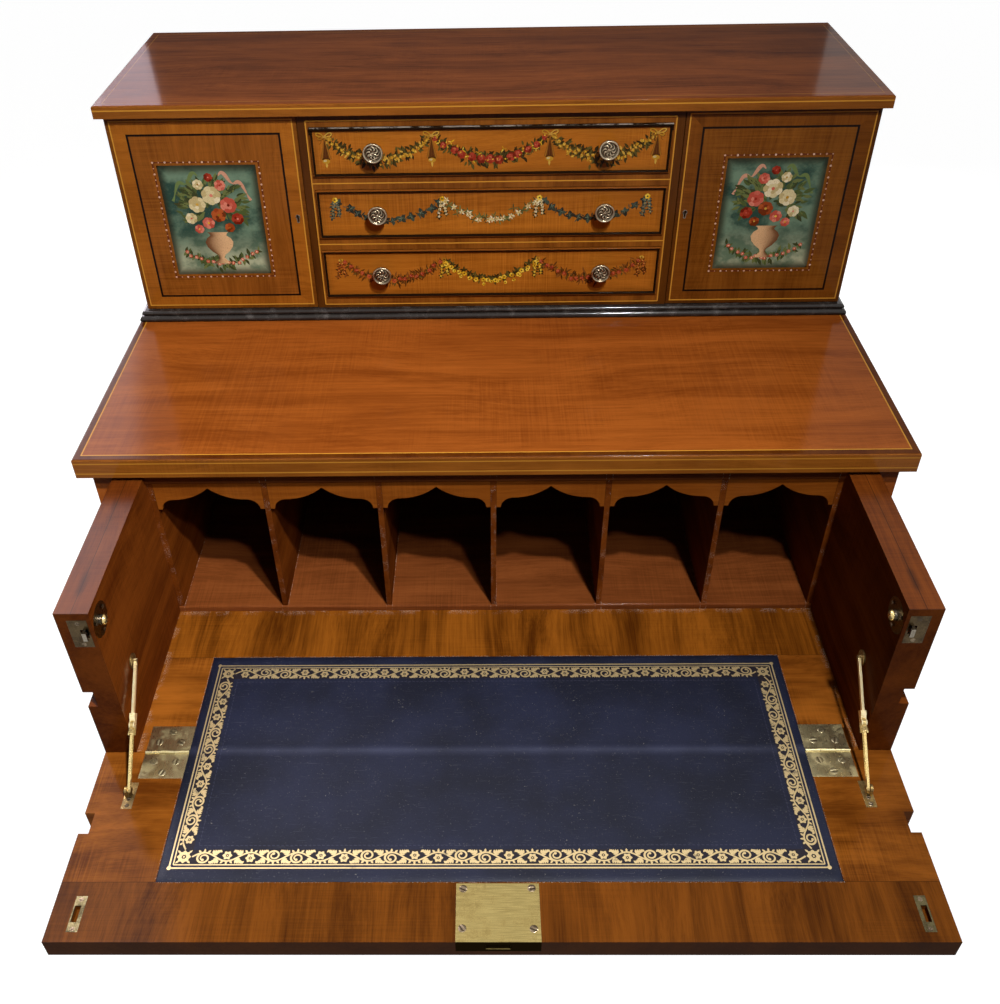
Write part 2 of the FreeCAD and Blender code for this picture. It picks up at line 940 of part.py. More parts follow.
def door_bolt_bar(clearance, inset, extra):
    y = door_back - door_lock_depth / 2
    half = door_bolt_thickness / 2 + clearance
    tall = door_bolt_height / 2 + clearance
    z = door_middle()
    x = door_edge + inset
    return block((x, x + door_bolt_length + extra), (y - half, y + half), (z - tall, z + tall))


def cabinet_partitions():
    x = (bay_half_width, bay_half_width + partition_thickness)
    floor = cabinet_foot + cabinet_bottom_thickness
    wall = block(x, (cabinet_front, back_face), (floor, cabinet_head))
    toe = block(x, (cabinet_front, door_back), (cabinet_foot, floor))
    reach = door_mortise_depth + door_gap
    mortise = door_bolt_bar(running_gap, -reach, reach)
    return pair(joined(wall, toe).cut(mortise))


def upper_top():
    half = case_half + upper_top_overhang
    head = cabinet_head + upper_top_thickness
    board = block((-half, half), (cabinet_front - upper_top_overhang, case_back), (cabinet_head, head))
    return rounded(board, upper_top_rounding, board_edges(head, case_back))


def small_drawer_floors():
    # the level that each small drawer runs on, from the bottom to the top
    heights = (bottom_drawer_height, middle_drawer_height, top_drawer_height)
    floor = cabinet_foot + cabinet_bottom_thickness
    levels = []
    for height in heights:
        levels.append((floor, height))
        floor += height + rail_thickness
    return levels


def drawer_rails():
    x = (-bay_half_width, bay_half_width)
    levels = small_drawer_floors()
    rails = []
    for floor, height in levels[:-1]:
        z = (floor + height, floor + height + rail_thickness)
        rails.append(block(x, (cabinet_front, back_face), z))
    floor, height = levels[-1]
    rails.append(block(x, (cabinet_front, cabinet_front + top_rail_depth), (floor + height, cabinet_head)))
    return rails


# Doors

def door_lock_room():
    z = door_middle()
    half = door_lock_height / 2
    x = (door_edge, door_edge + door_lock_width)
    return block(x, (door_back - door_lock_depth, door_back), (z - half, z + half))


def right_door():
    z = (cabinet_foot + door_gap, cabinet_head - door_gap)
    board = block((door_edge, case_half), (cabinet_front, door_back), z)
    key = keyhole(
        door_edge + door_keyhole_inset,
        cabinet_front - overrun,
        door_middle(),
        y_axis,
        Vector(0, 0, -1),
        overrun + door_thickness - door_lock_depth,
    )
    rooms = [door_leaf(1, place, hinge_room) for place in door_hinge_places()]
    return board.cut([door_lock_room(), key] + rooms)


def right_door_hinge_leaves():
    return [door_leaf(1, z) for z in door_hinge_places()]


def right_door_lock():
    channel = door_bolt_bar(running_gap, -overrun, overrun + door_bolt_inset + running_gap)
    return door_lock_room().cut(channel)


def right_door_bolt():
    return door_bolt_bar(0, door_bolt_inset, 0)


# Small drawers

def small_front(floor, height):
    frame = small_drawer_fit + cockbead_thickness
    half = bay_half_width - frame
    z = (floor + frame, floor + height - frame)
    return block((-half, half), (cabinet_front, cabinet_front + small_front_thickness), z)


def small_cockbead(floor, height):
    outer = bay_half_width - small_drawer_fit
    inner = outer - cockbead_thickness
    low = floor + small_drawer_fit
    high = floor + height - small_drawer_fit
    y = (cabinet_front - cockbead_proud, cabinet_front + cockbead_depth)

    def nose(strip):
        return rounded(strip, cockbead_rounding, nose_edge)

    return [
        nose(block((-outer, outer), y, (low, low + cockbead_thickness))),
        nose(block((-outer, outer), y, (high - cockbead_thickness, high))),
        nose(block((-outer, -inner), y, (low + cockbead_thickness, high - cockbead_thickness))),
        nose(block((inner, outer), y, (low + cockbead_thickness, high - cockbead_thickness))),
    ]


def nose_edge(edge):
    # the long front edges of a bead
    box = edge.BoundBox
    at_front = box.YMax < cabinet_front - cockbead_proud + running_gap
    return at_front and max(box.XLength, box.ZLength) > 2 * cockbead_thickness


def small_box(floor, height):
    outer = bay_half_width - small_side_gap
    inner = outer - small_side_thickness
    low = floor + running_gap
    high = floor + height - small_side_headroom
    front = cabinet_front + small_front_thickness
    end = cabinet_front + small_drawer_length
    back = (end - small_side_thickness, end)
    side = block((inner, outer), (front, end), (low, high))
    shelf = low + small_floor_rise
    return pair(side) + [
        block((-inner, inner), back, (low, high)),
        block((-inner, inner), (front, back[0]), (shelf, shelf + small_floor_thickness)),
    ]


def small_knobs(floor, height):
    knob = turned_knob(knob_radius, knob_height)
    knob.rotate(Vector(), x_axis, 90)
    knob.translate(Vector(knob_spread, cabinet_front, floor + height / 2 + knob_rise))
    return pair(knob)


def gather(shapes):
    return Part.makeCompound(shapes) if isinstance(shapes, list) else shapes


nodes = {
    "legs": legs(),
    "aprons": aprons(),
    "case_bottom": case_bottom(),
    "case_sides": case_sides(),
    "back_panels": back_panels(),
    "lower_top": lower_top(),
    "lock_keep": lock_keep(),
    "drawer_runners": drawer_runners(),
    "base_moulding": base_moulding(),
    "cabinet_bottom": cabinet_bottom(),
    "cabinet_sides": cabinet_sides(),
    "cabinet_partitions": cabinet_partitions(),
    "drawer_rails": drawer_rails(),
    "upper_top": upper_top(),
    "door_hinge_fixed_leaves": door_hinge_fixed_leaves(),
    "writing_drawer_sides": writing_drawer_sides(),
    "writing_drawer_base": writing_drawer_base(),
    "writing_drawer_back": writing_drawer_back(),
    "pigeonhole_boards": pigeonhole_boards(),
    "pigeonhole_dividers": pigeonhole_dividers(),
    "pigeonhole_valances": pigeonhole_valances(),
    "drawer_leather": drawer_leather(),
    "fall_hinge_rear_leaves": fall_hinge_rear_leaves(),
    "stay_studs": stay_studs(),
    "catch_plates": catch_plates(),
    "fall_board": fall_board(),
    "fall_leather": fall_leather(),
    "fall_hinge_front_leaves": fall_hinge_front_leaves(),
    "fall_lock": fall_lock(),
    "fall_lock_bolt": fall_lock_bolt(),
    "fall_strikes": fall_strikes(),
    "fall_stay_lugs": fall_stay_lugs(),
    "fall_knobs": fall_knobs(),
}

right_hand = {
    "catch": catch_right(),
    "stay_upper": stay_upper_right(),
    "stay_lower": stay_lower_right(),
    "door": right_door(),
    "door_hinge_leaves": gather(right_door_hinge_leaves()),
    "door_lock": right_door_lock(),
    "door_bolt": right_door_bolt(),
}
for name, shape in right_hand.items():
    nodes["right_" + name] = shape
    nodes["left_" + name] = mirrored(shape)

for name, (floor, height) in zip(("bottom", "middle", "top"), small_drawer_floors()):
    nodes[name + "_drawer_front"] = small_front(floor, height)
    nodes[name + "_drawer_cockbead"] = small_cockbead(floor, height)
    nodes[name + "_drawer_box"] = small_box(floor, height)
    nodes[name + "_drawer_knobs"] = small_knobs(floor, height)

os.makedirs("parts", exist_ok=True)
for name, shape in nodes.items():
    solid = gather(shape)
    solid.exportStep("parts/" + name + ".step")
    print(name, len(solid.Solids), solid.isValid(), round(solid.Volume))
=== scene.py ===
import functools
import math
import operator

import bmesh
import bpy
import numpy as np
from mathutils import Matrix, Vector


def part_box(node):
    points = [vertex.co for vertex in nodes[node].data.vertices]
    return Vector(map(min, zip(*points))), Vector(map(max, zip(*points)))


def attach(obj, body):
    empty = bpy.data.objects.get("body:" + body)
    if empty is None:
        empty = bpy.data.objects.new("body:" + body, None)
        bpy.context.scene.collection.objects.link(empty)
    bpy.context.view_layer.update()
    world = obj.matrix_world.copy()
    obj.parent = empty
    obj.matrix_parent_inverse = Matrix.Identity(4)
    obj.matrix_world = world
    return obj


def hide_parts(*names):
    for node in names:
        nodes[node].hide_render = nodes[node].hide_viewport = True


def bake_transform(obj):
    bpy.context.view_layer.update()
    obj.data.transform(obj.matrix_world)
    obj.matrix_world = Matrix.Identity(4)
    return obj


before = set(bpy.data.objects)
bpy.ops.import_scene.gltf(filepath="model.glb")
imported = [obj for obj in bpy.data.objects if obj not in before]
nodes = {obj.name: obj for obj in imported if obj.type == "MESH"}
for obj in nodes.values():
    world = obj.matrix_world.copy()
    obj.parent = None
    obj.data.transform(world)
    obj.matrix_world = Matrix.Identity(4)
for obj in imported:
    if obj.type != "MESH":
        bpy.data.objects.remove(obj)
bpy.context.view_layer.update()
mm = 0.001
print("frame loaded:", len(nodes), "solids")


def tone(red, green, blue):
    # a screen colour as linear light
    share = np.array([red, green, blue]) / 255.0
    light = np.where(share <= 0.04045, share / 12.92, ((share + 0.055) / 1.055) ** 2.4)
    return (*light.tolist(), 1.0)


class flow:
    # a shader socket to reckon with: each sign below adds one Math node to the socket's own tree
    def __init__(self, socket):
        self.socket = socket
        self.tree = socket.id_data

    def reckon(self, operation, *values):
        return addNode(self.tree, "ShaderNodeMath", dict(enumerate(values)), operation=operation)


signs = {"add": "ADD", "sub": "SUBTRACT", "mul": "MULTIPLY", "truediv": "DIVIDE", "mod": "PINGPONG",
         "or": "MAXIMUM", "and": "MINIMUM", "lt": "LESS_THAN", "gt": "GREATER_THAN"}
for sign, operation in signs.items():
    setattr(flow, f"__{sign}__", lambda self, other, kind=operation: self.reckon(kind, self, other))
flow.__rsub__ = lambda self, other: self.reckon("SUBTRACT", other, self)
flow.__abs__ = lambda self: self.reckon("ABSOLUTE", self)


def addNode(tree, kind, inputs=None, result=0, **settings):
    # one node; inputs maps a socket's name or number to a value or to the flow that feeds it; given back is
    # the output that result names or numbers, or every output by its name where result is None
    node = tree.nodes.new(kind)
    for name, value in settings.items():
        setattr(node, name, value)
    for key, value in (inputs or {}).items():
        if isinstance(value, flow):
            tree.links.new(value.socket, node.inputs[key])
        else:
            node.inputs[key].default_value = value
    if result is None:
        return {socket.name: flow(socket) for socket in node.outputs}
    return flow(node.outputs[result])


def treeOf(*values):
    # the tree of the first flow among the values
    return next(value.tree for value in values if isinstance(value, flow))


def wire(sockets, feeds):
    # each named socket is fed by its flow
    for label, value in feeds.items():
        value.tree.links.new(value.socket, sockets[label])


def mixTone(share, first, second):
    # the first colour, and a share of the way from it to the second
    tree = treeOf(share, first, second)
    return addNode(tree, "ShaderNodeMix", {0: share, 6: first, 7: second}, 2, data_type="RGBA")


def joinAxes(*axes):
    # a vector of three values
    return addNode(treeOf(*axes), "ShaderNodeCombineXYZ", dict(enumerate(axes)))


def softStep(value, low, high, floor=0.0, top=1.0):
    # smooth step of a value between low and high, from floor to top
    return addNode(value.tree, "ShaderNodeMapRange", {0: value, 1: low, 2: high, 3: floor, 4: top},
                   interpolation_type="SMOOTHSTEP")


def noise(vector, stretch, detail=2.0, roughness=0.5):
    # fractal noise on a vector stretched along each axis; stretch is cells to the metre
    cells = stretch if isinstance(stretch, tuple) else (stretch,) * 3
    scaled = addNode(vector.tree, "ShaderNodeVectorMath", {0: vector, 1: cells}, operation="MULTIPLY")
    return addNode(vector.tree, "ShaderNodeTexNoise", {"Vector": scaled, "Scale": 1.0, "Detail": detail,
                                                       "Roughness": roughness})


lineSoft, edgeSoft = 0.18 * mm, 0.2 * mm


def lineMask(value, at, width, soft=lineSoft):
    # one on a line of this width where value equals at, else zero
    return softStep(abs(value - at), width / 2 - soft, width / 2 + soft, 1.0, 0.0)


def newGroup(name, inputs, outputs):
    # an empty group with these sockets, the flows that enter it and the sockets that leave it
    group = bpy.data.node_groups.new(name, "ShaderNodeTree")
    for way, sockets in (("INPUT", inputs), ("OUTPUT", outputs)):
        for label, kind in sockets.items():
            group.interface.new_socket(label, in_out=way, socket_type="NodeSocket" + kind)
    given = group.nodes.new("NodeGroupInput").outputs
    return group, {label: flow(given[label]) for label in inputs}, group.nodes.new("NodeGroupOutput").inputs


grainSettings = {
    "drift": ((4, 10, 10), 1.0), "driftWay": 45 * mm, "broad": ((2, 26, 26), 3.0),
    "streak": ((6, 240, 240), 4.0, 0.6), "fine": (26, 1200, 1200), "cloud": ((15, 36, 36), 3.0, 0.55),
    "ripple": ((620, 14, 14), 1.5), "patch": (9, 1.0), "patchEdges": (0.38, 0.62),
    "streakShare": 0.7, "fineShare": 0.45, "tones": (0.02, 0.98), "pores": (0.60, 0.74), "poreShade": 0.28,
    "poreRough": 0.2, "smooth": 0.36, "heightShare": 0.35,
}


def makeGrainGroup():
    # wood with its grain along X: broad tone, long streaks, pores and a ripple across the grain in patches
    s = grainSettings
    group, given, result = newGroup(
        "polishedGrain",
        {"Vector": "Vector", "Dark": "Color", "Light": "Color", "Ripple": "Float", "Streak": "Float",
         "Broad": "Float", "Mottle": "Float"},
        {"Color": "Color", "Roughness": "Float", "Height": "Float"})
    vector = given["Vector"]
    drift = (noise(vector, *s["drift"]) - 0.5) * s["driftWay"]
    along = addNode(group, "ShaderNodeVectorMath", {0: vector, 1: joinAxes(0.0, drift, drift)},
                    operation="ADD")
    fine = noise(along, s["fine"])
    value = (noise(along, *s["broad"]) - 0.5) * given["Broad"] + 0.5
    value = value + (noise(along, *s["streak"]) - 0.5) * given["Streak"] * s["streakShare"]
    value = value + (fine - 0.5) * s["fineShare"]
    patch = softStep(noise(vector, *s["patch"]), *s["patchEdges"])
    value = value + (noise(vector, *s["ripple"]) - 0.5) * patch * given["Ripple"]
    value = value + (noise(along, *s["cloud"]) - 0.5) * given["Mottle"]
    pores = softStep(fine, *s["pores"])
    colour = mixTone(softStep(value, *s["tones"]), given["Dark"], given["Light"])
    wire(result, {"Color": mixTone(pores * s["poreShade"], colour, tone(0, 0, 0)),
                  "Roughness": pores * s["poreRough"] + s["smooth"],
                  "Height": value * s["heightShare"] - pores})
    return group


def makeFrameGroup():
    # the greater of |u| - half u and |v| - half v is the way out of a rectangle, with a line near zero
    group, given, result = newGroup(
        "lineFrame", dict.fromkeys(("U", "V", "Half U", "Half V", "Width"), "Float"),
        dict.fromkeys(("Line", "Inside", "Stile"), "Float"))
    sideU, sideV = abs(given["U"]) - given["Half U"], abs(given["V"]) - given["Half V"]
    reach = sideU | sideV
    line = softStep(abs(reach) - given["Width"] * 0.5, -lineSoft, lineSoft, 1.0, 0.0)
    wire(result, {"Line": line, "Inside": reach < 0.0, "Stile": sideU > sideV})
    return group


wearSettings = {"coarse": (55, 4.0, 0.62), "fine": 900, "fineShare": 0.35}


def makeWearGroup():
    # worn places: coarse noise picks the patches and fine noise breaks their edges
    s = wearSettings
    group, given, result = newGroup("wornPatches", {"Vector": "Vector", "Low": "Float", "High": "Float"},
                                    {"Mask": "Float", "Fine": "Float"})
    fine = noise(given["Vector"], s["fine"])
    joined = (fine - 0.5) * s["fineShare"] + noise(given["Vector"], *s["coarse"])
    wire(result, {"Mask": softStep(joined, given["Low"], given["High"]), "Fine": fine})
    return group


polishedGrain = makeGrainGroup()
lineFrame = makeFrameGroup()
wornPatches = makeWearGroup()


def useGroup(group, tree, inputs):
    # one use of a group, and its outputs by name
    return addNode(tree, "ShaderNodeGroup", inputs, None, node_tree=group)


def frameMasks(u, v, middle, half, width=1.6 * mm):
    # the line, the inside and the stiles of a rectangle about a middle
    return useGroup(lineFrame, u.tree, {"U": u - middle[0], "V": v - middle[1], "Half U": half[0],
                                        "Half V": half[1], "Width": width})


def wornMasks(place, low, high):
    # worn patches where the noise passes from low to high, and the fine noise itself
    return useGroup(wornPatches, place.tree, {"Vector": place, "Low": low, "High": high})


def newMaterial(name, fixed):
    # a material with its shader's plain values set, and the object coordinates ready to use
    material = bpy.data.materials.new(name)
    material.use_nodes = True
    shader = material.node_tree.nodes["Principled BSDF"].inputs
    for label, value in fixed.items():
        shader[label].default_value = value
    place = addNode(material.node_tree, "ShaderNodeTexCoord", result="Object")
    axes = addNode(material.node_tree, "ShaderNodeSeparateXYZ", {0: place}, None)
    return material, shader, place, (axes["X"], axes["Y"], axes["Z"])


bumpSettings = {"wood": (0.25, 0.12 * mm, 0.7 * mm), "black": (0.2, 0.1 * mm, 0.5 * mm),
                "metal": (0.12, 0.08 * mm, 0.3 * mm), "screw": (0.12, 0.08 * mm, None),
                "paint": (0.2, 0.08 * mm, None), "cast": (0.15, 0.1 * mm, None),
                "skin": (0.35, 0.25 * mm, None), "gilt": (0.3, 0.1 * mm, None)}


def addBump(shader, height, kind):
    # height as a bump of its kind, on a normal rounded near edges where a radius is given
    strength, distance, edge = bumpSettings[kind]
    inputs = {"Height": height, "Strength": strength, "Distance": distance}
    if edge:
        inputs["Normal"] = addNode(height.tree, "ShaderNodeBevel", {"Radius": edge}, samples=4)
    wire(shader, {"Normal": addNode(height.tree, "ShaderNodeBump", inputs)})


varnish = {"Coat Weight": 0.07, "Coat Roughness": 0.12, "Specular IOR Level": 0.0}
woodTones = {
    "mahogany": ((112, 51, 13), (170, 91, 32)), "top": ((74, 32, 12), (150, 80, 34)),
    "field": ((128, 68, 14), (190, 114, 35)), "band": ((102, 53, 13), (156, 92, 30)),
    "rimBand": ((74, 30, 6), (102, 53, 13)), "door": ((100, 52, 13), (156, 90, 30)),
    "doorBand": ((118, 62, 13), (176, 104, 31)), "shade": ((94, 48, 10), (140, 83, 26)),
    "shadeBand": ((86, 43, 9), (134, 76, 22)), "inner": ((74, 30, 6), (122, 62, 18)),
    "pigeon": ((82, 39, 15), (132, 72, 33)), "valance": ((104, 50, 11), (152, 84, 25)),
    "desk": ((84, 40, 8), (154, 88, 27)), "strip": ((70, 32, 5), (148, 84, 22)),
    "front": ((66, 31, 6), (130, 72, 20)), "plain": ((132, 96, 58), (196, 158, 108)),
}
# joint is the tone of dark joints and stains, and is also laid as a painted shade on the cabinet front, the
# door rims, the drawer fronts and the drawer sides' front edges
lineTones = {"boxwood": (200, 138, 48), "ebony": (30, 18, 10), "joint": (38, 16, 5), "lipping": (62, 31, 8),
             "scuff": (186, 168, 150), "beadRim": (120, 66, 20)}


def grainTone(axes, wood, along="X", ripple=0.5, streak=0.8, broad=1.1, mottle=0.5):
    # the grain group with its long axis turned to X, Y or Z
    order = {"X": (0, 1, 2), "Y": (1, 0, 2), "Z": (2, 0, 1)}[along]
    dark, light = woodTones[wood]
    return useGroup(polishedGrain, axes[0].tree, {
        "Vector": joinAxes(*(axes[number] for number in order)), "Dark": tone(*dark), "Light": tone(*light),
        "Ripple": ripple, "Streak": streak, "Broad": broad, "Mottle": mottle})


def veneer(*wood, **figure):
    # the grain's colour alone
    return grainTone(*wood, **figure)["Color"]


def tint(colour, name, mask, share=None):
    # a line's tone over the colour, as far as the mask goes, or a share of that
    return mixTone(mask * share if share else mask, colour, tone(*lineTones[name]))


def woodMaterial(name, wood, along, ripple=0.5, streak=0.8, coat=0.07, blur=0.12, inlay=None, gloss=None,
                 **figure):
    # varnished wood; inlay changes the colour by place, and gloss gives the varnish a weight by place
    fixed = {**varnish, "Coat Weight": coat, "Coat Roughness": blur}
    material, shader, place, axes = newMaterial(name, fixed)
    grain = grainTone(axes, wood, along, ripple, streak, **figure)
    colour = inlay(axes, grain["Color"]) if inlay else grain["Color"]
    wire(shader, {"Base Color": colour, "Roughness": grain["Roughness"]})
    if gloss:
        wire(shader, {"Coat Weight": gloss(axes)})
    addBump(shader, grain["Height"], "wood")
    return material


lowerTopInlay = {"middle": (0.0, 0.201), "half": (0.4365, 0.2765), "width": 1.5 * mm, "topFace": 0.9565,
                 "edgeLines": (0.9385, 0.9515), "edgeShare": 0.65}


def inlayLowerTop(axes, colour):
    # a pale line round the top, a dark mitred band outside it, and two pale lines along a golden edge
    x, y, z = axes
    s = lowerTopInlay
    rim = frameMasks(x, y, s["middle"], s["half"], s["width"])
    flat = z > s["topFace"]
    band = mixTone(rim["Stile"], veneer(axes, "rimBand", "Y", 0.2), veneer(axes, "rimBand", "X", 0.2))
    colour = mixTone(flat, veneer(axes, "band", "X", 0.3), colour)
    colour = mixTone((1.0 - rim["Inside"]) * flat, colour, band)
    colour = tint(colour, "boxwood", rim["Line"] * flat)
    low, high = (lineMask(z, level, s["width"]) for level in s["edgeLines"])
    return tint(colour, "boxwood", (low | high) * (1.0 - flat), s["edgeShare"])


upperTopInlay = {"edgeLine": 1.2218, "width": 1.5 * mm, "topFace": 1.2265, "middle": (0.0, 0.3450),
                 "half": (0.4310, 0.1310), "fineWidth": 1.1 * mm, "fineShare": 0.4}


def inlayUpperTop(axes, colour):
    # a pale line high on the edge, a golden edge, and a faint line round the top
    x, y, z = axes
    s = upperTopInlay
    rim = frameMasks(x, y, s["middle"], s["half"], s["fineWidth"])
    colour = mixTone(z < s["topFace"], colour, veneer(axes, "band", "X", 0.3))
    colour = tint(colour, "boxwood", rim["Line"] * (z > s["topFace"]), s["fineShare"])
    return tint(colour, "boxwood", lineMask(z, s["edgeLine"], s["width"]))


frontInlay = {"face": 0.2125, "upright": 0.2075, "levels": (0.9755, 1.0565, 1.1325, 1.2050),
              "width": 1.4 * mm, "outsideShade": 0.56, "railShade": 0.10}


def inlayCabinetFront(axes, colour):
    # pale lines round the three drawers, and a painted shade that is deeper outside them
    x, y, z = axes
    s = frontInlay
    reach, front = abs(x), y < s["face"]
    between = reach < s["upright"]
    within = (z > s["levels"][0]) * (z < s["levels"][-1])
    level = functools.reduce(operator.or_, [lineMask(z, height, s["width"]) for height in s["levels"]])
    lines = lineMask(reach, s["upright"], s["width"]) * within | level * between
    # painted shade: the joint tone laid lightly over the rails and deeper outside the drawers
    gloom = (1.0 - between * within) * s["outsideShade"] + s["railShade"]
    colour = mixTone(front, colour, veneer(axes, "band", "Z", 0.3))
    colour = tint(colour, "joint", gloom * front)
    return tint(colour, "boxwood", lines * front)


doorInlay = {"face": 0.2125, "middle": (0.3254, 1.0920), "half": (0.1028, 0.1154), "width": 1.5 * mm,
             "blackMiddle": (0.32475, 1.0905), "blackHalf": (0.08625, 0.1010), "blackWidth": 2.5 * mm,
             "rimShade": 0.5, "ripple": 0.3, "broad": 0.7}


def inlayDoor(axes, colour, wood="doorBand"):
    # a pale line near the edge with a painted shade outside it, a mitred crossband inside it and a black
    # line round the field
    x, y, z = axes
    s = doorInlay
    outer = frameMasks(abs(x), z, s["middle"], s["half"], s["width"])
    inner = frameMasks(abs(x), z, s["blackMiddle"], s["blackHalf"], s["blackWidth"])
    rail, stile = (veneer(axes, wood, along, s["ripple"], broad=s["broad"]) for along in "ZX")
    band = mixTone(inner["Stile"], rail, stile)
    # outside the pale line the band takes a painted shade
    panel = mixTone(outer["Inside"], tint(band, "joint", s["rimShade"]), band)
    panel = mixTone(inner["Inside"], panel, colour)
    panel = tint(panel, "boxwood", outer["Line"])
    panel = tint(panel, "ebony", inner["Line"])
    return mixTone(y < s["face"], colour, panel)


def inlayRightDoor(axes, colour):
    # the same in darker tones: a painted shade on the right door
    return inlayDoor(axes, colour, "shadeBand")


def pastSpans(axes, spans, half):
    # the way past the nearest span's edge: the least |z - middle| - half height, or |x| - half if greater
    ways = [abs(axes[2] - (low + high) / 2) - (high - low) / 2 for low, high in spans]
    return functools.reduce(operator.and_, ways) | (abs(axes[0]) - half)


drawerFrontInlay = {"half": 0.2010, "spans": ((0.989, 1.045), (1.068, 1.121), (1.144, 1.194)),
                    "shade": 9.0 * mm, "share": 0.22}


def inlayDrawerFront(axes, colour):
    # a painted shade darkens each front towards its beads
    s = drawerFrontInlay
    past = pastSpans(axes, s["spans"], s["half"])
    return tint(colour, "joint", softStep(past, -s["shade"], 0.0, 0.0, s["share"]))


scuffSettings = {"patch": (0.50, 0.60), "fine": (0.50, 0.62)}


def scuffs(axes, near, patch=scuffSettings["patch"]):
    # broken pale specks where near is one
    wear = wornMasks(joinAxes(*axes), *patch)
    return near * wear["Mask"] * softStep(wear["Fine"], *scuffSettings["fine"])


deskInlay = {"rear": -0.1480, "front": -0.4275, "joint": 0.5 * mm, "jointShare": 0.7, "lipping": -0.48585,
             "lippingShare": 0.8, "wall": 0.3770, "ledge": -0.0740, "hinge": -0.2790, "scuffWidth": 9.0 * mm,
             "scuffShare": 0.6, "skinMiddle": (0.0, -0.28775), "skinHalf": (0.3219, 0.14015),
             "skinLine": 0.9 * mm, "skinWear": (0.40, 0.52), "outerFace": 0.6975,
             "outerMiddle": (0.0, -0.3826), "outerHalf": (0.3900, 0.0840), "outerLine": 1.5 * mm}


def inlayDesk(axes, colour):
    # side strips have their grain along X, the front and rear strips along Y, with a joint line between;
    # pale scuffs gather along the drawer's walls, the ledge and the edge of the leather; the fall's outer
    # face has its grain along X inside a pale line
    x, y, z = axes
    s = deskInlay
    colour = mixTone(y > s["rear"], colour, veneer(axes, "strip", "Y", 0.25, 1.0))
    colour = mixTone(y < s["front"], colour, veneer(axes, "front", "Y", 0.25, 1.0))
    joint = lineMask(y, s["rear"], s["joint"]) | lineMask(y, s["front"], s["joint"])
    colour = tint(colour, "joint", joint, s["jointShare"])
    wall = softStep(abs(x), s["wall"] - s["scuffWidth"], s["wall"]) * (y > s["hinge"])
    ledge = softStep(y, s["ledge"] - s["scuffWidth"], s["ledge"])
    skin = frameMasks(x, y, s["skinMiddle"], s["skinHalf"], s["skinLine"])
    wear = scuffs(axes, wall | ledge) | scuffs(axes, skin["Line"], s["skinWear"])
    colour = tint(colour, "scuff", wear, s["scuffShare"])
    rim = frameMasks(x, y, s["outerMiddle"], s["outerHalf"], s["outerLine"])
    outer = tint(veneer(axes, "mahogany", "X", 0.4, 0.9), "boxwood", rim["Line"])
    colour = mixTone(z < s["outerFace"], colour, outer)
    # a painted shade darkens the fall's front edge over its lipping
    return tint(colour, "lipping", y < s["lipping"], s["lippingShare"])


drawerSideInlay = {"joint": 0.3935, "width": 0.7 * mm, "seamShare": 0.75, "stain": 6.5 * mm,
                   "stainShare": 0.65, "stainCells": (1, 14, 1), "stainEdges": (0.42, 0.6),
                   "topFace": 0.9265, "topCoat": 0.24, "sideCoat": 0.05, "frontFace": -0.2785,
                   "frontShare": 0.28}


def inlayDrawerSide(axes, colour):
    # a seam along the top with stained patches about it, and a painted shade on the front edge
    x, y, z = axes
    s = drawerSideInlay
    reach, flat = abs(x), z > s["topFace"]
    patch = softStep(noise(joinAxes(0.0, y, 0.0), s["stainCells"]), *s["stainEdges"])
    stain = lineMask(reach, s["joint"], s["stain"], s["stain"] / 2) * patch
    colour = tint(colour, "joint", stain * flat, s["stainShare"])
    # painted shade on the front edge
    colour = tint(colour, "joint", y < s["frontFace"], s["frontShare"])
    return tint(colour, "joint", lineMask(reach, s["joint"], s["width"]) * flat, s["seamShare"])


def glossDrawerSide(axes):
    # the top faces keep their polish, and the rubbed walls do not
    s = drawerSideInlay
    return softStep(axes[2], s["topFace"] - edgeSoft, s["topFace"], s["sideCoat"], s["topCoat"])


caseSideInlay = {"face": 0.4325, "middle": (0.207, 0.813), "half": (0.262, 0.103), "width": 1.5 * mm}


def inlayCaseSide(axes, colour):
    # a pale line round the outer face
    s = caseSideInlay
    rim = frameMasks(axes[1], axes[2], s["middle"], s["half"], s["width"])
    return tint(colour, "boxwood", rim["Line"] * (abs(axes[0]) > s["face"]))


bottomInlay = {"side": 0.4320, "front": -0.0710, "back": 0.4850}


def inlayCaseBottom(axes, colour):
    # plain wood whose outer edges are lipped with the polished wood of the case
    x, y, z = axes
    s = bottomInlay
    edge = (abs(x) > s["side"]) | (y < s["front"]) | (y > s["back"])
    return mixTone(edge, colour, veneer(axes, "mahogany", "X", 0.3, 0.9))


apronInlay = {"line": 0.6375, "width": 1.5 * mm}


def inlayApron(axes, colour):
    # a pale line at one level
    return tint(colour, "boxwood", lineMask(axes[2], apronInlay["line"], apronInlay["width"]))


pigeonInlay = {"front": -0.0715, "back": -0.0690, "firstDivider": 0.3740, "halfPitch": 0.0623333,
               "halfDivider": 3.0 * mm, "seam": 0.9 * mm, "seamShare": 0.55, "crown": 0.9160,
               "crownDepth": 0.5 * mm, "crownShare": 0.35, "jointShare": 0.6, "scuffShare": 0.28,
               "edgeWear": (0.54, 0.64), "seamWear": (0.42, 0.56)}


def inlayDivider(axes, colour):
    # the front edges are specked where they are worn most
    s = pigeonInlay
    edge = softStep(axes[1], s["front"], s["back"], 1.0, 0.0)
    return tint(colour, "scuff", scuffs(axes, edge, s["edgeWear"]), s["scuffShare"])


def dividerWay(axes):
    # the way to the nearest divider is a ping-pong of x
    return (axes[0] + pigeonInlay["firstDivider"]) % pigeonInlay["halfPitch"]


def inlayValance(axes, colour):
    # a dark joint where each one meets a divider, and a paler arris along its head, partly wear and partly a
    # painted highlight
    s = pigeonInlay
    head = softStep(axes[2], s["crown"], s["crown"] + s["crownDepth"], 0.0, s["crownShare"])
    joint = softStep(dividerWay(axes), s["halfDivider"], s["halfDivider"] + s["seam"], s["jointShare"], 0.0)
    return tint(tint(colour, "boxwood", head), "joint", joint)


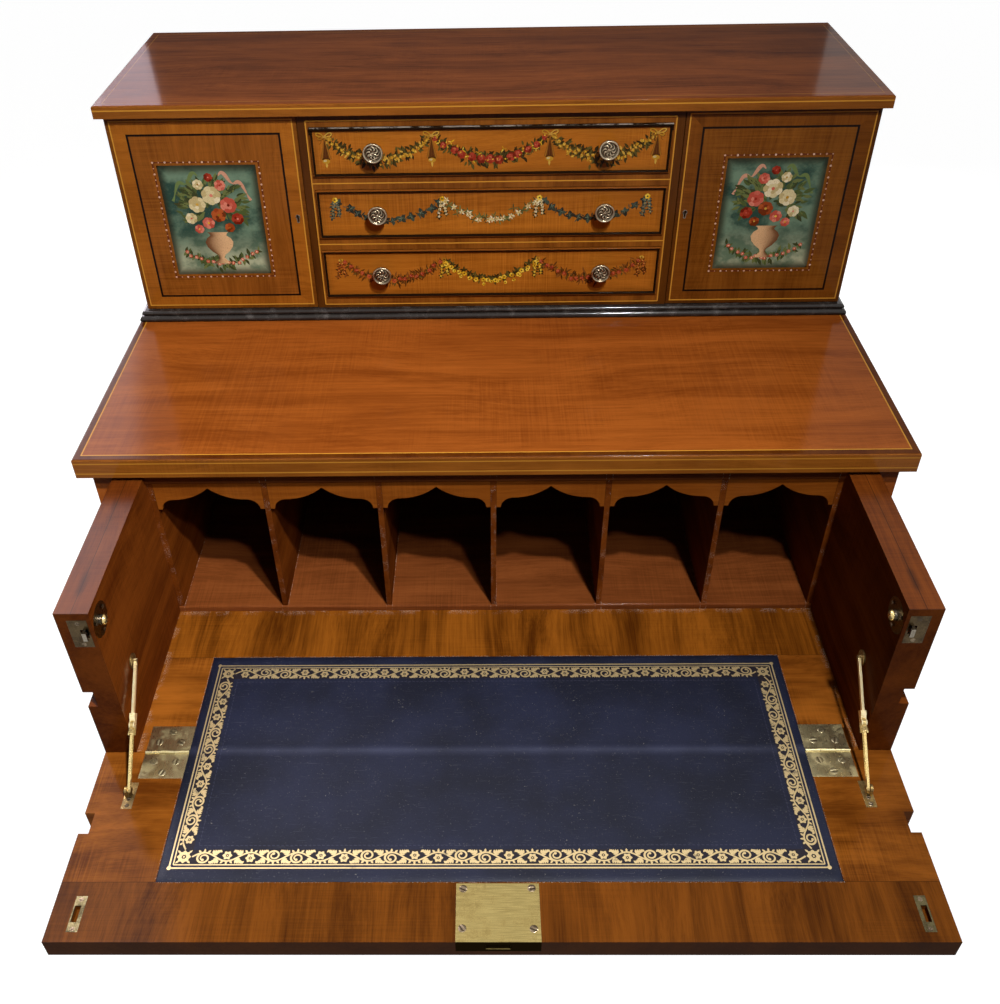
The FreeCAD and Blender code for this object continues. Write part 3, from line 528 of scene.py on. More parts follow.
def inlayPigeonBoard(axes, colour):
    # a broken pale seam on each side of a divider
    s = pigeonInlay
    seam = lineMask(dividerWay(axes), s["halfDivider"] + s["seam"] / 2, s["seam"])
    return tint(colour, "scuff", scuffs(axes, seam, s["seamWear"]), s["seamShare"])


beadRim = {"width": 1.25 * mm, "below": 1.1900}


def rimOfBeads(axes):
    # one on the outer strip of the drawers' beads
    s = beadRim
    boxes = [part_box(name + "_drawer_cockbead") for name in ("top", "middle", "bottom")]
    past = pastSpans(axes, [(low[2], high[2]) for low, high in boxes], boxes[0][1][0])
    return softStep(past, -s["width"] - edgeSoft, -s["width"] + edgeSoft) * (axes[2] < s["below"])


blackSettings = {"soft": 0.3 * mm, "roughness": (0.3, 0.55)}


def ebonisedMaterial(name, low, high, paleWearAndHighlight, share, coat, dark, light, highlightAndWearAbove=None):
    # black polish rubbed through along broken patches; where a level is given, the pale patches stand above
    # it alone, as wear and a painted highlight along the top bead's upper edge
    s = blackSettings
    material, shader, place, axes = newMaterial(name, {**varnish, "Coat Weight": coat})
    wear = wornMasks(place, low, high)
    mask = wear["Mask"]
    base = mixTone(wear["Fine"], tone(*dark), tone(*light))
    if highlightAndWearAbove:
        # above the level the pale patches are wear and a painted highlight
        mask = mask * softStep(axes[2], highlightAndWearAbove - s["soft"], highlightAndWearAbove + s["soft"])
        base = tint(base, "beadRim", rimOfBeads(axes))
    wire(shader, {"Base Color": mixTone(mask * share, base, tone(*paleWearAndHighlight)),
                  "Roughness": softStep(mask, 0.0, 1.0, *s["roughness"])})
    addBump(shader, wear["Fine"], "black")
    return material


metalSettings = {"age": (0.46, 0.66), "hairNoise": (3.0, 0.6), "hair": (0.34, 0.66, 0.0), "hairRough": 0.12,
                 "shade": (38, 28, 12)}


def metalMaterial(name, bright, dull, brush, age=metalSettings["age"], smooth=0.22, rough=0.48, bump="metal",
                  hairShare=0.4, metallic=1.0, darkFront=None):
    # brushed metal with dull patches of age, and a painted shade in front of darkFront where that is given
    s = metalSettings
    material, shader, place, axes = newMaterial(name, {"Metallic": metallic})
    age = wornMasks(place, *age)["Mask"]
    hair = noise(place, brush, *s["hairNoise"])
    shine = mixTone(softStep(hair, *s["hair"], hairShare), tone(*bright), tone(*dull))
    shine = mixTone(age, shine, tone(*dull))
    if darkFront:
        front = softStep(axes[1], darkFront - edgeSoft, darkFront, 1.0, 0.0)
        shine = mixTone(front, shine, tone(*s["shade"]))
        shader["Specular IOR Level"].default_value = 0.0
        wire(shader, {"Metallic": metallic - front})
    wire(shader, {"Base Color": shine,
                  "Roughness": age * (rough - smooth) + (hair * s["hairRough"] + smooth)})
    addBump(shader, hair, bump)
    return material


def paintAttribute(tree):
    # the piece's own colours
    return addNode(tree, "ShaderNodeAttribute", result="Color", attribute_name="paint")


paintSettings = {"brush": 1500, "thin": (0.45, 0.75, 0.0, 0.45), "under": (120, 74, 30), "roughness": 0.5}


def paintMaterial(name):
    # each dab's own colour, broken by fine brush noise, under the same varnish as the wood
    s = paintSettings
    material, shader, place, axes = newMaterial(name, {**varnish, "Roughness": s["roughness"]})
    brush = noise(place, s["brush"])
    thin = softStep(brush, *s["thin"])
    wire(shader, {"Base Color": mixTone(thin, paintAttribute(place.tree), tone(*s["under"]))})
    addBump(shader, brush, "paint")
    return material


reliefSettings = {"dull": (84, 70, 52), "dullShare": 0.5, "dullRough": 0.2, "smooth": 0.26}


def reliefMaterial(name):
    # cast bronze, dark in its hollows and rubbed bright on its ridges by the piece's own colours
    s = reliefSettings
    material, shader, place, axes = newMaterial(name, {"Metallic": 1.0})
    age = wornMasks(place, *metalSettings["age"])
    colour = mixTone(age["Mask"] * s["dullShare"], paintAttribute(place.tree), tone(*s["dull"]))
    wire(shader, {"Base Color": colour, "Roughness": age["Mask"] * s["dullRough"] + s["smooth"]})
    addBump(shader, age["Fine"], "cast")
    return material


pictureSettings = {"middle": (0.3275, 1.08775), "half": (0.0572, 0.0686), "pearls": (0.0610, 0.0722),
                   "counts": (18, 22), "scale": 1.22, "foot": -0.0545}
groundSettings = {"cloud": ((30, 30, 38), 4.0, 0.6), "fleck": (420, 3.0), "billow": (0.36, 0.64),
                  "mistEnds": (-0.058, -0.010), "mistDrift": 0.06, "sky": ((44, 70, 60), (110, 134, 110)),
                  "mist": ((96, 116, 92), (186, 188, 154)), "fleckStep": (0.55, 0.8, 0.0, 0.3),
                  "fleckTone": (140, 128, 92), "rimDrift": 0.16, "rimStep": (0.82, 1.0, 0.0, 0.85),
                  "rimTone": (44, 36, 18), "roughness": (0.3, 0.7, 0.38, 0.55)}


def groundMaterial(name):
    # teal sky over pale clouds, darker towards the edges of each panel
    material, shader, place, (x, y, z) = newMaterial(name, varnish)
    s = groundSettings
    middle, half = pictureSettings["middle"], pictureSettings["half"]
    across, upward = abs(x) - middle[0], z - middle[1]
    cloud = noise(place, *s["cloud"])
    fleck = noise(place, *s["fleck"])
    sky, mist = (mixTone(softStep(cloud, *s["billow"]), tone(*s[name][0]), tone(*s[name][1]))
                 for name in ("sky", "mist"))
    sky = mixTone(softStep((cloud - 0.5) * s["mistDrift"] + upward, *s["mistEnds"]), mist, sky)
    sky = mixTone(softStep(fleck, *s["fleckStep"]), sky, tone(*s["fleckTone"]))
    rim = (abs(across) / half[0] | abs(upward) / half[1]) + (cloud - 0.5) * s["rimDrift"]
    sky = mixTone(softStep(rim, *s["rimStep"]), sky, tone(*s["rimTone"]))
    wire(shader, {"Base Color": sky, "Roughness": softStep(fleck, *s["roughness"])})
    addBump(shader, fleck, "cast")
    return material


skinSettings = {"middle": (0.0, -0.28675), "half": (0.2880, 0.1023),
                "bands": ((0.3090, 0.1233), (0.2925, 0.1068)), "blind": 0.9 * mm, "dash": 2.2 * mm,
                "dashShare": 0.4, "crease": -0.2775, "creaseWidth": 9.0 * mm, "pebble": 900.0,
                "cloud": (14, 4.0), "cloudStep": (0.3, 0.7), "rub": (0.56, 0.72), "rubShares": (0.55, 0.16),
                "speck": (520, 3.0, 0.7), "speckStep": (0.63, 0.72), "scratch": ((60, 900, 900), 2.0, 0.6),
                "scratchStep": (0.62, 0.76), "roughness": (0.25, 0.42), "blindDepth": -0.8,
                "base": ((13, 16, 31), (25, 29, 50)), "creaseTone": (0.22, (92, 96, 124)),
                "scratchTone": (0.12, (120, 122, 134)), "speckTone": (1.0, (176, 172, 162)),
                "blindTone": (0.10, (120, 118, 150)), "bandTone": (0.75, (30, 22, 24))}


def leatherMaterial(name):
    # dark blue skin: pebbled grain, a slight change of tone, rubbed specks, a paler crease along the joint,
    # a band browned by the hot tools and a blind dashed line inside it
    fixed = {"Specular IOR Level": 0.2, "Coat Weight": 0.04, "Coat Roughness": 0.3}
    material, shader, place, (x, y, z) = newMaterial(name, fixed)
    s = skinSettings
    pebble = addNode(place.tree, "ShaderNodeTexVoronoi", {"Vector": place, "Scale": s["pebble"]})
    cloud = noise(place, *s["cloud"])
    rub = wornMasks(place, *s["rub"])["Mask"] * s["rubShares"][0] + s["rubShares"][1]
    dash = (x + y) % s["dash"] > s["dash"] * s["dashShare"]
    blind = frameMasks(x, y, s["middle"], s["half"], s["blind"])["Line"] * dash
    crease = softStep(abs(y - s["crease"]), 0.0, s["creaseWidth"], 1.0, 0.0)
    outer, inner = (frameMasks(x, y, s["middle"], half)["Inside"] for half in s["bands"])
    marks = {"creaseTone": crease * softStep(cloud, *s["cloudStep"], 0.5, 1.0),
             "scratchTone": softStep(noise(place, *s["scratch"]), *s["scratchStep"]),
             "speckTone": rub * softStep(noise(place, *s["speck"]), *s["speckStep"]),
             "blindTone": blind, "bandTone": outer - inner}
    base = mixTone(softStep(cloud, *s["cloudStep"]), *(tone(*one) for one in s["base"]))
    for mark, mask in marks.items():
        share, colour = s[mark]
        base = mixTone(mask * share, base, tone(*colour))
    wire(shader, {"Base Color": base, "Roughness": pebble * s["roughness"][0] + s["roughness"][1]})
    addBump(shader, blind * s["blindDepth"] + pebble, "skin")
    return material


giltSettings = {"rub": (0.60, 0.74), "leaf": ((196, 168, 112), (228, 206, 158)), "bare": (64, 56, 54),
                "bareShare": 0.75, "metallic": (0.75, 0.1), "roughness": (0.42, 0.6)}


def giltMaterial(name):
    # gold leaf, rubbed away to the skin in small broken places
    s = giltSettings
    material, shader, place, axes = newMaterial(name, {"Coat Weight": 0.1, "Coat Roughness": 0.3})
    rub = wornMasks(place, *s["rub"])
    leaf = mixTone(rub["Fine"], *(tone(*one) for one in s["leaf"]))
    wire(shader, {"Base Color": mixTone(rub["Mask"] * s["bareShare"], leaf, tone(*s["bare"])),
                  "Metallic": softStep(rub["Mask"], 0.0, 1.0, *s["metallic"]),
                  "Roughness": softStep(rub["Mask"], 0.0, 1.0, *s["roughness"])})
    addBump(shader, rub["Fine"], "gilt")
    return material


woods = {
    "case": ("casePolish", "mahogany", "Y", 0.5, 0.9, {"inlay": inlayCaseSide}),
    "caseAcross": ("apronPolish", "mahogany", "X", 0.5, 0.9, {"inlay": inlayApron}),
    "caseUpright": ("legPolish", "mahogany", "Z", 0.3, 0.9, {}),
    "lowerTop": ("lowerTopPolish", "mahogany", "X", 0.35, 0.9,
                 {"coat": 0.16, "inlay": inlayLowerTop, "broad": 0.9, "mottle": 0.3}),
    "upperTop": ("upperTopPolish", "top", "X", 0.1, 0.9,
                 {"blur": 0.07, "inlay": inlayUpperTop, "broad": 0.75, "mottle": 0.35}),
    "cabinetFront": ("cabinetFrontPolish", "band", "X", 0.3, 0.8, {"inlay": inlayCabinetFront}),
    "cabinetSide": ("cabinetSidePolish", "mahogany", "Y", 0.4, 0.8, {}),
    "door": ("doorVeneer", "door", "Z", 0.7, 1.0, {"inlay": inlayDoor, "broad": 0.7}),
    # the right door is the same veneer in darker tones, a painted shade
    "doorRight": ("rightDoorVeneer", "shade", "Z", 0.7, 1.0, {"inlay": inlayRightDoor, "broad": 0.7}),
    "drawerFront": ("drawerVeneer", "field", "X", 0.85, 0.8,
                    {"inlay": inlayDrawerFront, "broad": 0.6, "mottle": 0.35}),
    "desk": ("deskVeneer", "desk", "X", 0.8, 0.6, {"inlay": inlayDesk, "mottle": 1.1}),
    "drawerSide": ("drawerSidePolish", "inner", "Y", 0.4, 0.9,
                   {"blur": 0.28, "inlay": inlayDrawerSide, "gloss": glossDrawerSide}),
    "pigeonBoard": ("pigeonholePolish", "pigeon", "X", 0.4, 0.8, {"inlay": inlayPigeonBoard}),
    "valance": ("valancePolish", "valance", "X", 0.5, 0.8, {"inlay": inlayValance, "broad": 0.7}),
    "divider": ("dividerPolish", "inner", "Y", 0.3, 0.8, {"inlay": inlayDivider}),
    "caseBottom": ("lippedBottomWood", "plain", "X", 0.1, 1.0,
                   {"coat": 0.0, "inlay": inlayCaseBottom, "broad": 0.7, "mottle": 0.3}),
    "plainX": ("plainWood", "plain", "X", 0.1, 1.0, {"coat": 0.0, "broad": 0.7, "mottle": 0.3}),
    "plainY": ("plainRunnerWood", "plain", "Y", 0.1, 1.0, {"coat": 0.0}),
}
steelTones = ((142, 134, 120), (88, 80, 68), (200, 200, 900))
metals = {
    "hingeBrass": ("hingeBrass", (222, 208, 160), (182, 168, 124), (900, 60, 900), {"hairShare": 0.5}),
    "lockBrass": ("lockBrass", (184, 163, 102), (120, 104, 60), (40, 1100, 1100), (0.42, 0.70),
                  {"hairShare": 0.6, "darkFront": -0.4857}),
    "buttonBrass": ("buttonBrass", (222, 198, 136), (150, 128, 76), 300, (0.54, 0.76), {}),
    "stayBrass": ("stayBrass", (255, 238, 190), (226, 198, 132), 300, (0.56, 0.76), 0.12, 0.34,
                  {"metallic": 0.5}),
    "stayDull": ("stayDullBrass", (232, 206, 140), (176, 146, 86), 300, (0.5, 0.7), 0.2, 0.4,
                 {"metallic": 0.7}),
    "agedBrass": ("agedBrass", (176, 148, 92), (104, 86, 56), 300, (0.42, 0.62), {}),
    "catchBrass": ("catchBrass", (80, 66, 44), (54, 42, 26), 300, (0.44, 0.70), {}),
    "strikeBrass": ("strikeBrass", (104, 95, 66), (66, 58, 39), 300, (0.42, 0.66), {}),
    "hingeScrew": ("hingeScrew", (178, 166, 132), (128, 116, 86), 600, (0.44, 0.6), 0.3, 0.5, "screw", {}),
    "screw": ("screwSteel", (132, 116, 94), (66, 55, 42), 600, (0.44, 0.6), 0.25, 0.5, "screw", {}),
    "steel": ("filedSteel", *steelTones, {}),
    "lockBolt": ("boltSteel", *steelTones, {"darkFront": -0.4840}),
}
finishes = {
    **{finish: woodMaterial(*plain, **more) for finish, (*plain, more) in woods.items()},
    **{finish: metalMaterial(*plain, **more) for finish, (*plain, more) in metals.items()},
    "black": ebonisedMaterial("blackBead", 0.42, 0.56, (176, 164, 150), 0.6, 0.02, (16, 9, 4), (42, 25, 12),
                              1.1970),
    "blackMoulding": ebonisedMaterial("blackMoulding", 0.50, 0.80, (112, 106, 102), 0.5, 0.6, (26, 22, 20),
                                      (52, 46, 42)),
    "knob": reliefMaterial("knobBronze"),
    "paint": paintMaterial("paintedOrnament"),
    "ground": groundMaterial("pictureGround"),
    "leather": leatherMaterial("blueSkin"),
    "gilt": giltMaterial("giltTooling"),
}
print("finishes made:", len(finishes))

nodeFinishes = {
    "caseUpright": "legs", "caseAcross": "aprons", "case": "case_sides", "lowerTop": "lower_top",
    "upperTop": "upper_top", "blackMoulding": "base_moulding", "cabinetSide": "cabinet_sides",
    "cabinetFront": "cabinet_bottom cabinet_partitions drawer_rails", "door": "left_door",
    "doorRight": "right_door", "drawerFront": "bottom_drawer_front middle_drawer_front top_drawer_front",
    "black": "bottom_drawer_cockbead middle_drawer_cockbead top_drawer_cockbead",
    "desk": "writing_drawer_base fall_board", "drawerSide": "writing_drawer_sides",
    "pigeonBoard": "pigeonhole_boards", "valance": "pigeonhole_valances", "divider": "pigeonhole_dividers",
    "caseBottom": "case_bottom", "plainY": "drawer_runners",
    "plainX": "back_panels writing_drawer_back bottom_drawer_box middle_drawer_box top_drawer_box",
    "hingeBrass": "fall_hinge_rear_leaves fall_hinge_front_leaves door_hinge_fixed_leaves "
                  "left_door_hinge_leaves right_door_hinge_leaves",
    "lockBrass": "fall_lock lock_keep", "agedBrass": "stay_studs fall_stay_lugs",
    "strikeBrass": "fall_strikes",
    "stayBrass": "left_stay_upper right_stay_upper left_stay_lower right_stay_lower",
    "catchBrass": "catch_plates", "lockBolt": "fall_lock_bolt", "leather": "drawer_leather fall_leather",
    "steel": "left_catch right_catch left_door_bolt right_door_bolt left_door_lock right_door_lock",
    "knob": "bottom_drawer_knobs middle_drawer_knobs top_drawer_knobs fall_knobs",
}
missed = set(nodes)
for finish, names in nodeFinishes.items():
    for name in names.split():
        slots = nodes[name].data.materials
        for number in range(len(slots)):
            slots[number] = finishes[finish]
        if not len(slots):
            slots.append(finishes[finish])
        missed.discard(name)
print("solids without a finish:", sorted(missed))


def quadGrid(rows, columns, wrapRows=False, wrapColumns=False):
    # the four corners of every cell of a grid; a wrapped side joins its last line to its first
    row = np.arange(rows if wrapRows else rows - 1)
    column = np.arange(columns if wrapColumns else columns - 1)
    row, column = np.meshgrid(row, column, indexing="ij")
    nextRow, nextColumn = (row + 1) % rows, (column + 1) % columns
    corners = [row * columns + column, nextRow * columns + column, nextRow * columns + nextColumn,
               row * columns + nextColumn]
    return np.stack(corners, -1).reshape(-1, 4)


def joinParts(parts):
    # several (points, faces, colours) sets as one, each set's face numbers moved past the points before it
    starts = np.cumsum([0] + [len(part[0]) for part in parts])
    points = np.concatenate([part[0] for part in parts])
    faces = np.concatenate([part[1] + start for part, start in zip(parts, starts)])
    return points, faces, np.concatenate([part[2] for part in parts]) if len(parts[0]) > 2 else None


def addObject(name, data):
    # a new object in the scene
    made = bpy.data.objects.new(name, data)
    bpy.context.scene.collection.objects.link(made)
    return made


def buildPiece(name, parts, finish, body=None, weld=False, smooth=True):
    # one smooth mesh from the parts, with their colours as the attribute named paint
    points, faces, colours = joinParts(parts)
    mesh = bpy.data.meshes.new(name)
    mesh.from_pydata(points.tolist(), [], faces.tolist())
    if colours is not None:
        layer = mesh.color_attributes.new("paint", "FLOAT_COLOR", "POINT")
        layer.data.foreach_set("color", np.ascontiguousarray(colours, np.float32).ravel())
    piece = addObject(name, mesh)
    mesh.materials.append(finishes[finish])
    mesh.polygons.foreach_set("use_smooth", np.full(len(mesh.polygons), smooth))
    if weld:
        work = bmesh.new()
        work.from_mesh(mesh)
        bmesh.ops.remove_doubles(work, verts=work.verts, dist=1e-6)
        bmesh.ops.recalc_face_normals(work, faces=work.faces)
        work.to_mesh(mesh)
        work.free()
    mesh.update()
    if body:
        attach(piece, body)
    return piece


def crossed(rows, columns):
    # every pairing of two sets of values
    return np.meshgrid(rows, columns, indexing="ij")


def pressed(u, v):
    # a square pressed into a circle: x = u root(1 - v v / 2), and y likewise
    return u * np.sqrt(1 - v * v / 2), v * np.sqrt(1 - u * u / 2)


def unitShape(x, y, height):
    # a grid of points with its faces
    return np.stack([x, y, height], -1).reshape(-1, 3), quadGrid(*x.shape)


def unitLeaf(rows=7):
    # one unit long: half width is a sine of the length, with a low rounded back
    s, t = crossed(np.linspace(0, 1, rows), [-1.0, 0.0, 1.0])
    return unitShape(s, 0.5 * (0.05 + 0.95 * np.sin(np.pi * s ** 0.8)) * t, 1 - t * t * 0.9)


def unitCone(rows=5):
    # one unit long and widening evenly, with a rounded back
    s, t = crossed(np.linspace(0, 1, rows), [-1.0, 0.0, 1.0])
    return unitShape(s, 0.5 * (0.2 + 0.8 * s) * t, 1 - t * t)


def unitDisc(rows=5):
    # a circle of unit width with a domed back
    x, y = pressed(*crossed(np.linspace(-1, 1, rows), np.linspace(-1, 1, rows)))
    return unitShape(0.5 * x, 0.5 * y, 1 - (x * x + y * y))


def unitScrew():
    # the same disc with a slot: grid lines stand close on each side of it, and those between are sunk
    u, v = crossed([-1, -0.86, -0.6, -0.3, 0, 0.3, 0.6, 0.86, 1.0],
                   [-1, -0.86, -0.55, -0.2, -0.14, 0.14, 0.2, 0.55, 0.86, 1.0])
    x, y = pressed(u, v)
    height = 0.55 + 0.45 * (1 - (x * x + y * y))
    height = np.where((np.abs(v) < 0.17) & (np.abs(u) < 0.95), 0.1, height)
    height = np.where(np.maximum(np.abs(u), np.abs(v)) > 0.99, 0.0, height)
    return unitShape(0.5 * x, 0.5 * y, height)


leafShape, coneShape, discShape, screwShape = unitLeaf(), unitCone(), unitDisc(), unitScrew()
xAxis, yAxis, zAxis = np.eye(3)
frontFace, deskLevel = 0.2120, 0.7200
sides = (("left", -1), ("right", 1))


def frontPlane(y, x=0.0, z=0.0):
    # a plane that faces the sitter: its origin, two directions and normal
    return np.array([x, y, z]), xAxis, zAxis, -yAxis


def topPlane(z):
    # a plane that faces up
    return z * zAxis, xAxis, yAxis, zAxis


def onPlane(plane, u, v, h):
    # the plane's origin, and so far along its two directions and its normal
    origin, first, second, normal = plane
    where = origin + u[..., None] * first + v[..., None] * second + h[..., None] * normal
    return where.reshape(-1, 3)


def withColours(points, faces, colours, count):
    # the set alone, or with one colour for the points of each of the copies
    if colours is None:
        return points, faces
    colours = np.broadcast_to(np.atleast_2d(colours), (count, 4))
    return points, faces, np.repeat(colours, len(points) // count, axis=0)


def copiesOf(faces, count, points):
    # the faces of every copy, each moved past the points of the copies before it
    return (faces[None] + (np.arange(count) * points)[:, None, None]).reshape(-1, 4)


def stamp(shape, plane, at, turn, size, colours=None):
    # each copy: scaled, turned about its start, moved to at, and laid on the plane
    points, faces = shape
    at = np.atleast_2d(at)
    count = len(at)
    turn = np.broadcast_to(turn, count)[:, None]
    size = np.broadcast_to(np.atleast_2d(size), (count, 3))
    x, y, h = (points[None, :, axis] * size[:, axis:axis + 1] for axis in range(3))
    where = onPlane(plane, at[:, :1] + np.cos(turn) * x - np.sin(turn) * y,
                    at[:, 1:2] + np.sin(turn) * x + np.cos(turn) * y, at[:, 2:3] + h)
    return withColours(where, copiesOf(faces, count, len(points)), colours, count)


def ribbon(path, width, plane, lift=0.0, crown=0.0, colours=None):
    # paths of shape (count, steps, 2): left, middle and right columns, set off along the path's own normal
    path = np.asarray(path, float)
    path = path[None] if path.ndim == 2 else path
    count, steps = path.shape[:2]
    run = np.gradient(path, axis=1)
    run /= np.linalg.norm(run, axis=2, keepdims=True) + 1e-12
    side = np.stack([-run[..., 1], run[..., 0]], -1)
    width = np.broadcast_to(np.asarray(width, float), (count, steps))
    t = np.array([-0.5, 0.0, 0.5])
    flat = path[:, :, None, :] + side[:, :, None, :] * (width[..., None] * t)[..., None]
    where = onPlane(plane, flat[..., 0], flat[..., 1], lift + crown * (1 - 4 * t * t))
    return withColours(where, copiesOf(quadGrid(steps, 3), count, steps * 3), colours, count)


def closedSlab(upper, lower):
    # two grids of the same shape, the lower one turned over, and a wall that joins their rims
    rows, columns = upper.shape[:2]
    number = np.arange(rows * columns).reshape(rows, columns)
    rim = np.concatenate([number[:, 0], number[-1, 1:], number[-2::-1, -1], number[0, -2:0:-1]])
    below = rim + rows * columns
    wall = np.stack([rim, below, np.roll(below, -1), np.roll(rim, -1)], -1)
    face = quadGrid(rows, columns)
    return (np.concatenate([upper.reshape(-1, 3), lower.reshape(-1, 3)]),
            np.concatenate([face, face[:, ::-1] + rows * columns, wall]))


def lifted(at, height):
    # flat places with one height
    return np.concatenate([at, np.full((len(at), 1), height)], 1)


def dabSizes(long, wide, thick=0.05 * mm):
    # a length for each dab, a width that is a share of it, and one thickness
    return np.stack([long, wide * long, np.full(len(long), thick)], 1)


def ringOf(angle):
    # the place on a unit circle at each angle
    return np.stack([np.cos(angle), np.sin(angle)], -1)


def between(first, second, steps):
    # even steps on the straight lines from the first places to the second
    share = np.linspace(0, 1, steps)[None, :, None]
    return first[:, None] * (1 - share) + second[:, None] * share


# Leather skin over the fall's joint
leatherSettings = {"half": 0.3215, "rear": -0.1480, "front": -0.4275, "top": 0.71982, "bottom": 0.71885,
                   "hinge": -0.2790, "bend": 8.0 * mm, "crease": (0.12 * mm, 2.2 * mm), "rim": 0.6 * mm,
                   "rimDrop": 0.5 * mm, "welt": (0.30 * mm, 3.4 * mm), "weltBehind": 3.5 * mm,
                   "weltEnd": 0.286, "weltFade": 14.0 * mm, "slack": 0.07 * mm, "waves": (43, 61, 2.0),
                   "columns": 81, "rows": 41, "near": (1.6, 33)}


def makeLeather():
    # height is the top less a falling rim, with a bell-shaped crease along the joint and a low bell-shaped
    # welt behind it that dies out before the border; the under side is flat
    s = leatherSettings
    half, front, rear, rim = s["half"], s["front"], s["rear"], s["rim"]
    reach, count = s["near"]
    near = s["hinge"] + np.linspace(-reach, reach, count) * s["bend"]
    y = np.unique(np.concatenate([np.linspace(front, rear, s["rows"]), near, [front + rim, rear - rim]]))
    x = np.unique(np.concatenate([np.linspace(-half, half, s["columns"]), [rim - half, half - rim]]))
    x, y = crossed(x, y)
    bell = lambda way, tall, wide: tall * np.exp(-(way / wide) ** 2)
    edge = np.minimum(half - np.abs(x), np.minimum(y - front, rear - y))
    drop = s["rimDrop"] * np.clip(1 - edge / rim, 0, 1)
    fade = np.clip((s["weltEnd"] - np.abs(x)) / s["weltFade"], 0, 1)
    fold = bell(y - s["hinge"], *s["crease"]) - bell(y - s["hinge"] - s["weltBehind"], *s["welt"]) * fade
    across, along, phase = s["waves"]
    slack = s["slack"] * np.sin(across * x + phase) * np.sin(along * y)
    upper = np.stack([x, y, s["top"] - drop - fold + slack], -1)
    return closedSlab(upper, np.stack([x, y, np.full_like(x, s["bottom"])], -1))


leather = buildPiece("writing_leather", [makeLeather()], "leather", weld=True)
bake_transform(leather)
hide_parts("drawer_leather", "fall_leather")

# Gilt border tooled on the leather
toolSettings = {"half": 0.3120, "rear": -0.1605, "front": -0.4130, "level": 0.71997, "pitch": 22.5 * mm,
                "corner": 19.6 * mm, "lines": ((0.0, 1.5 * mm), (3.4 * mm, 1.2 * mm)),
                "lineThick": 0.04 * mm, "thick": 0.06 * mm, "lifts": (0.01 * mm, 0.02 * mm, 0.03 * mm),
                "middle": 11.8 * mm, "reach": 7.5 * mm, "swing": 4.5 * mm, "vine": 1.6 * mm,
                "shift": 1.4 * mm, "scroll": (6.0 * mm, 2.0 * mm), "turns": 2.9 * np.pi, "stretch": 1.12,
                "scrollWidth": (2.1 * mm, 0.8 * mm), "ball": 2.8 * mm, "petal": 3.6 * mm, "eye": 1.3 * mm,
                "branch": (2.4 * mm, 7.4 * mm, 1.6 * mm, 5.2 * mm), "arch": 0.575 * np.pi,
                "stem": (1.5 * mm, 0.8 * mm), "stations": (0.10, 0.30, 0.50, 0.70, 0.90), "lean": 0.95,
                "lobe": (5.0 * mm, 1.4 * mm), "innerLobe": 0.72, "leastLobe": 0.8 * mm, "crest": 3.6 * mm,
                "crestStep": 3.4 * mm, "crestRise": 0.4 * mm, "crestFan": 220.0, "full": 0.60,
                "cornerRose": (1.35, 1.5), "spurWay": 5.8 * mm, "spur": (4.0 * mm, 2.0 * mm),
                "cornerBall": 4.2 * mm, "petals": (6, 8), "petalWide": 0.95, "leastRise": 0.05,
                "lineSteps": 121, "steps": {"vine": 16, "scroll": 44, "branch": 14}}


def rosettes(plane, centres, petals, petal, eye):
    # petals stand in a ring about a bare eye with a dot in it
    s = toolSettings
    turn = np.tile(np.arange(petals) * 2 * np.pi / petals, len(centres))
    at = np.repeat(centres, petals, axis=0) + eye * ringOf(turn)
    return [stamp(leafShape, plane, lifted(at, s["lifts"][2]), turn,
                  (petal, s["petalWide"] * petal, s["thick"])),
            stamp(discShape, plane, lifted(centres, s["lifts"][2]), 0.0, (eye, eye, s["thick"]))]


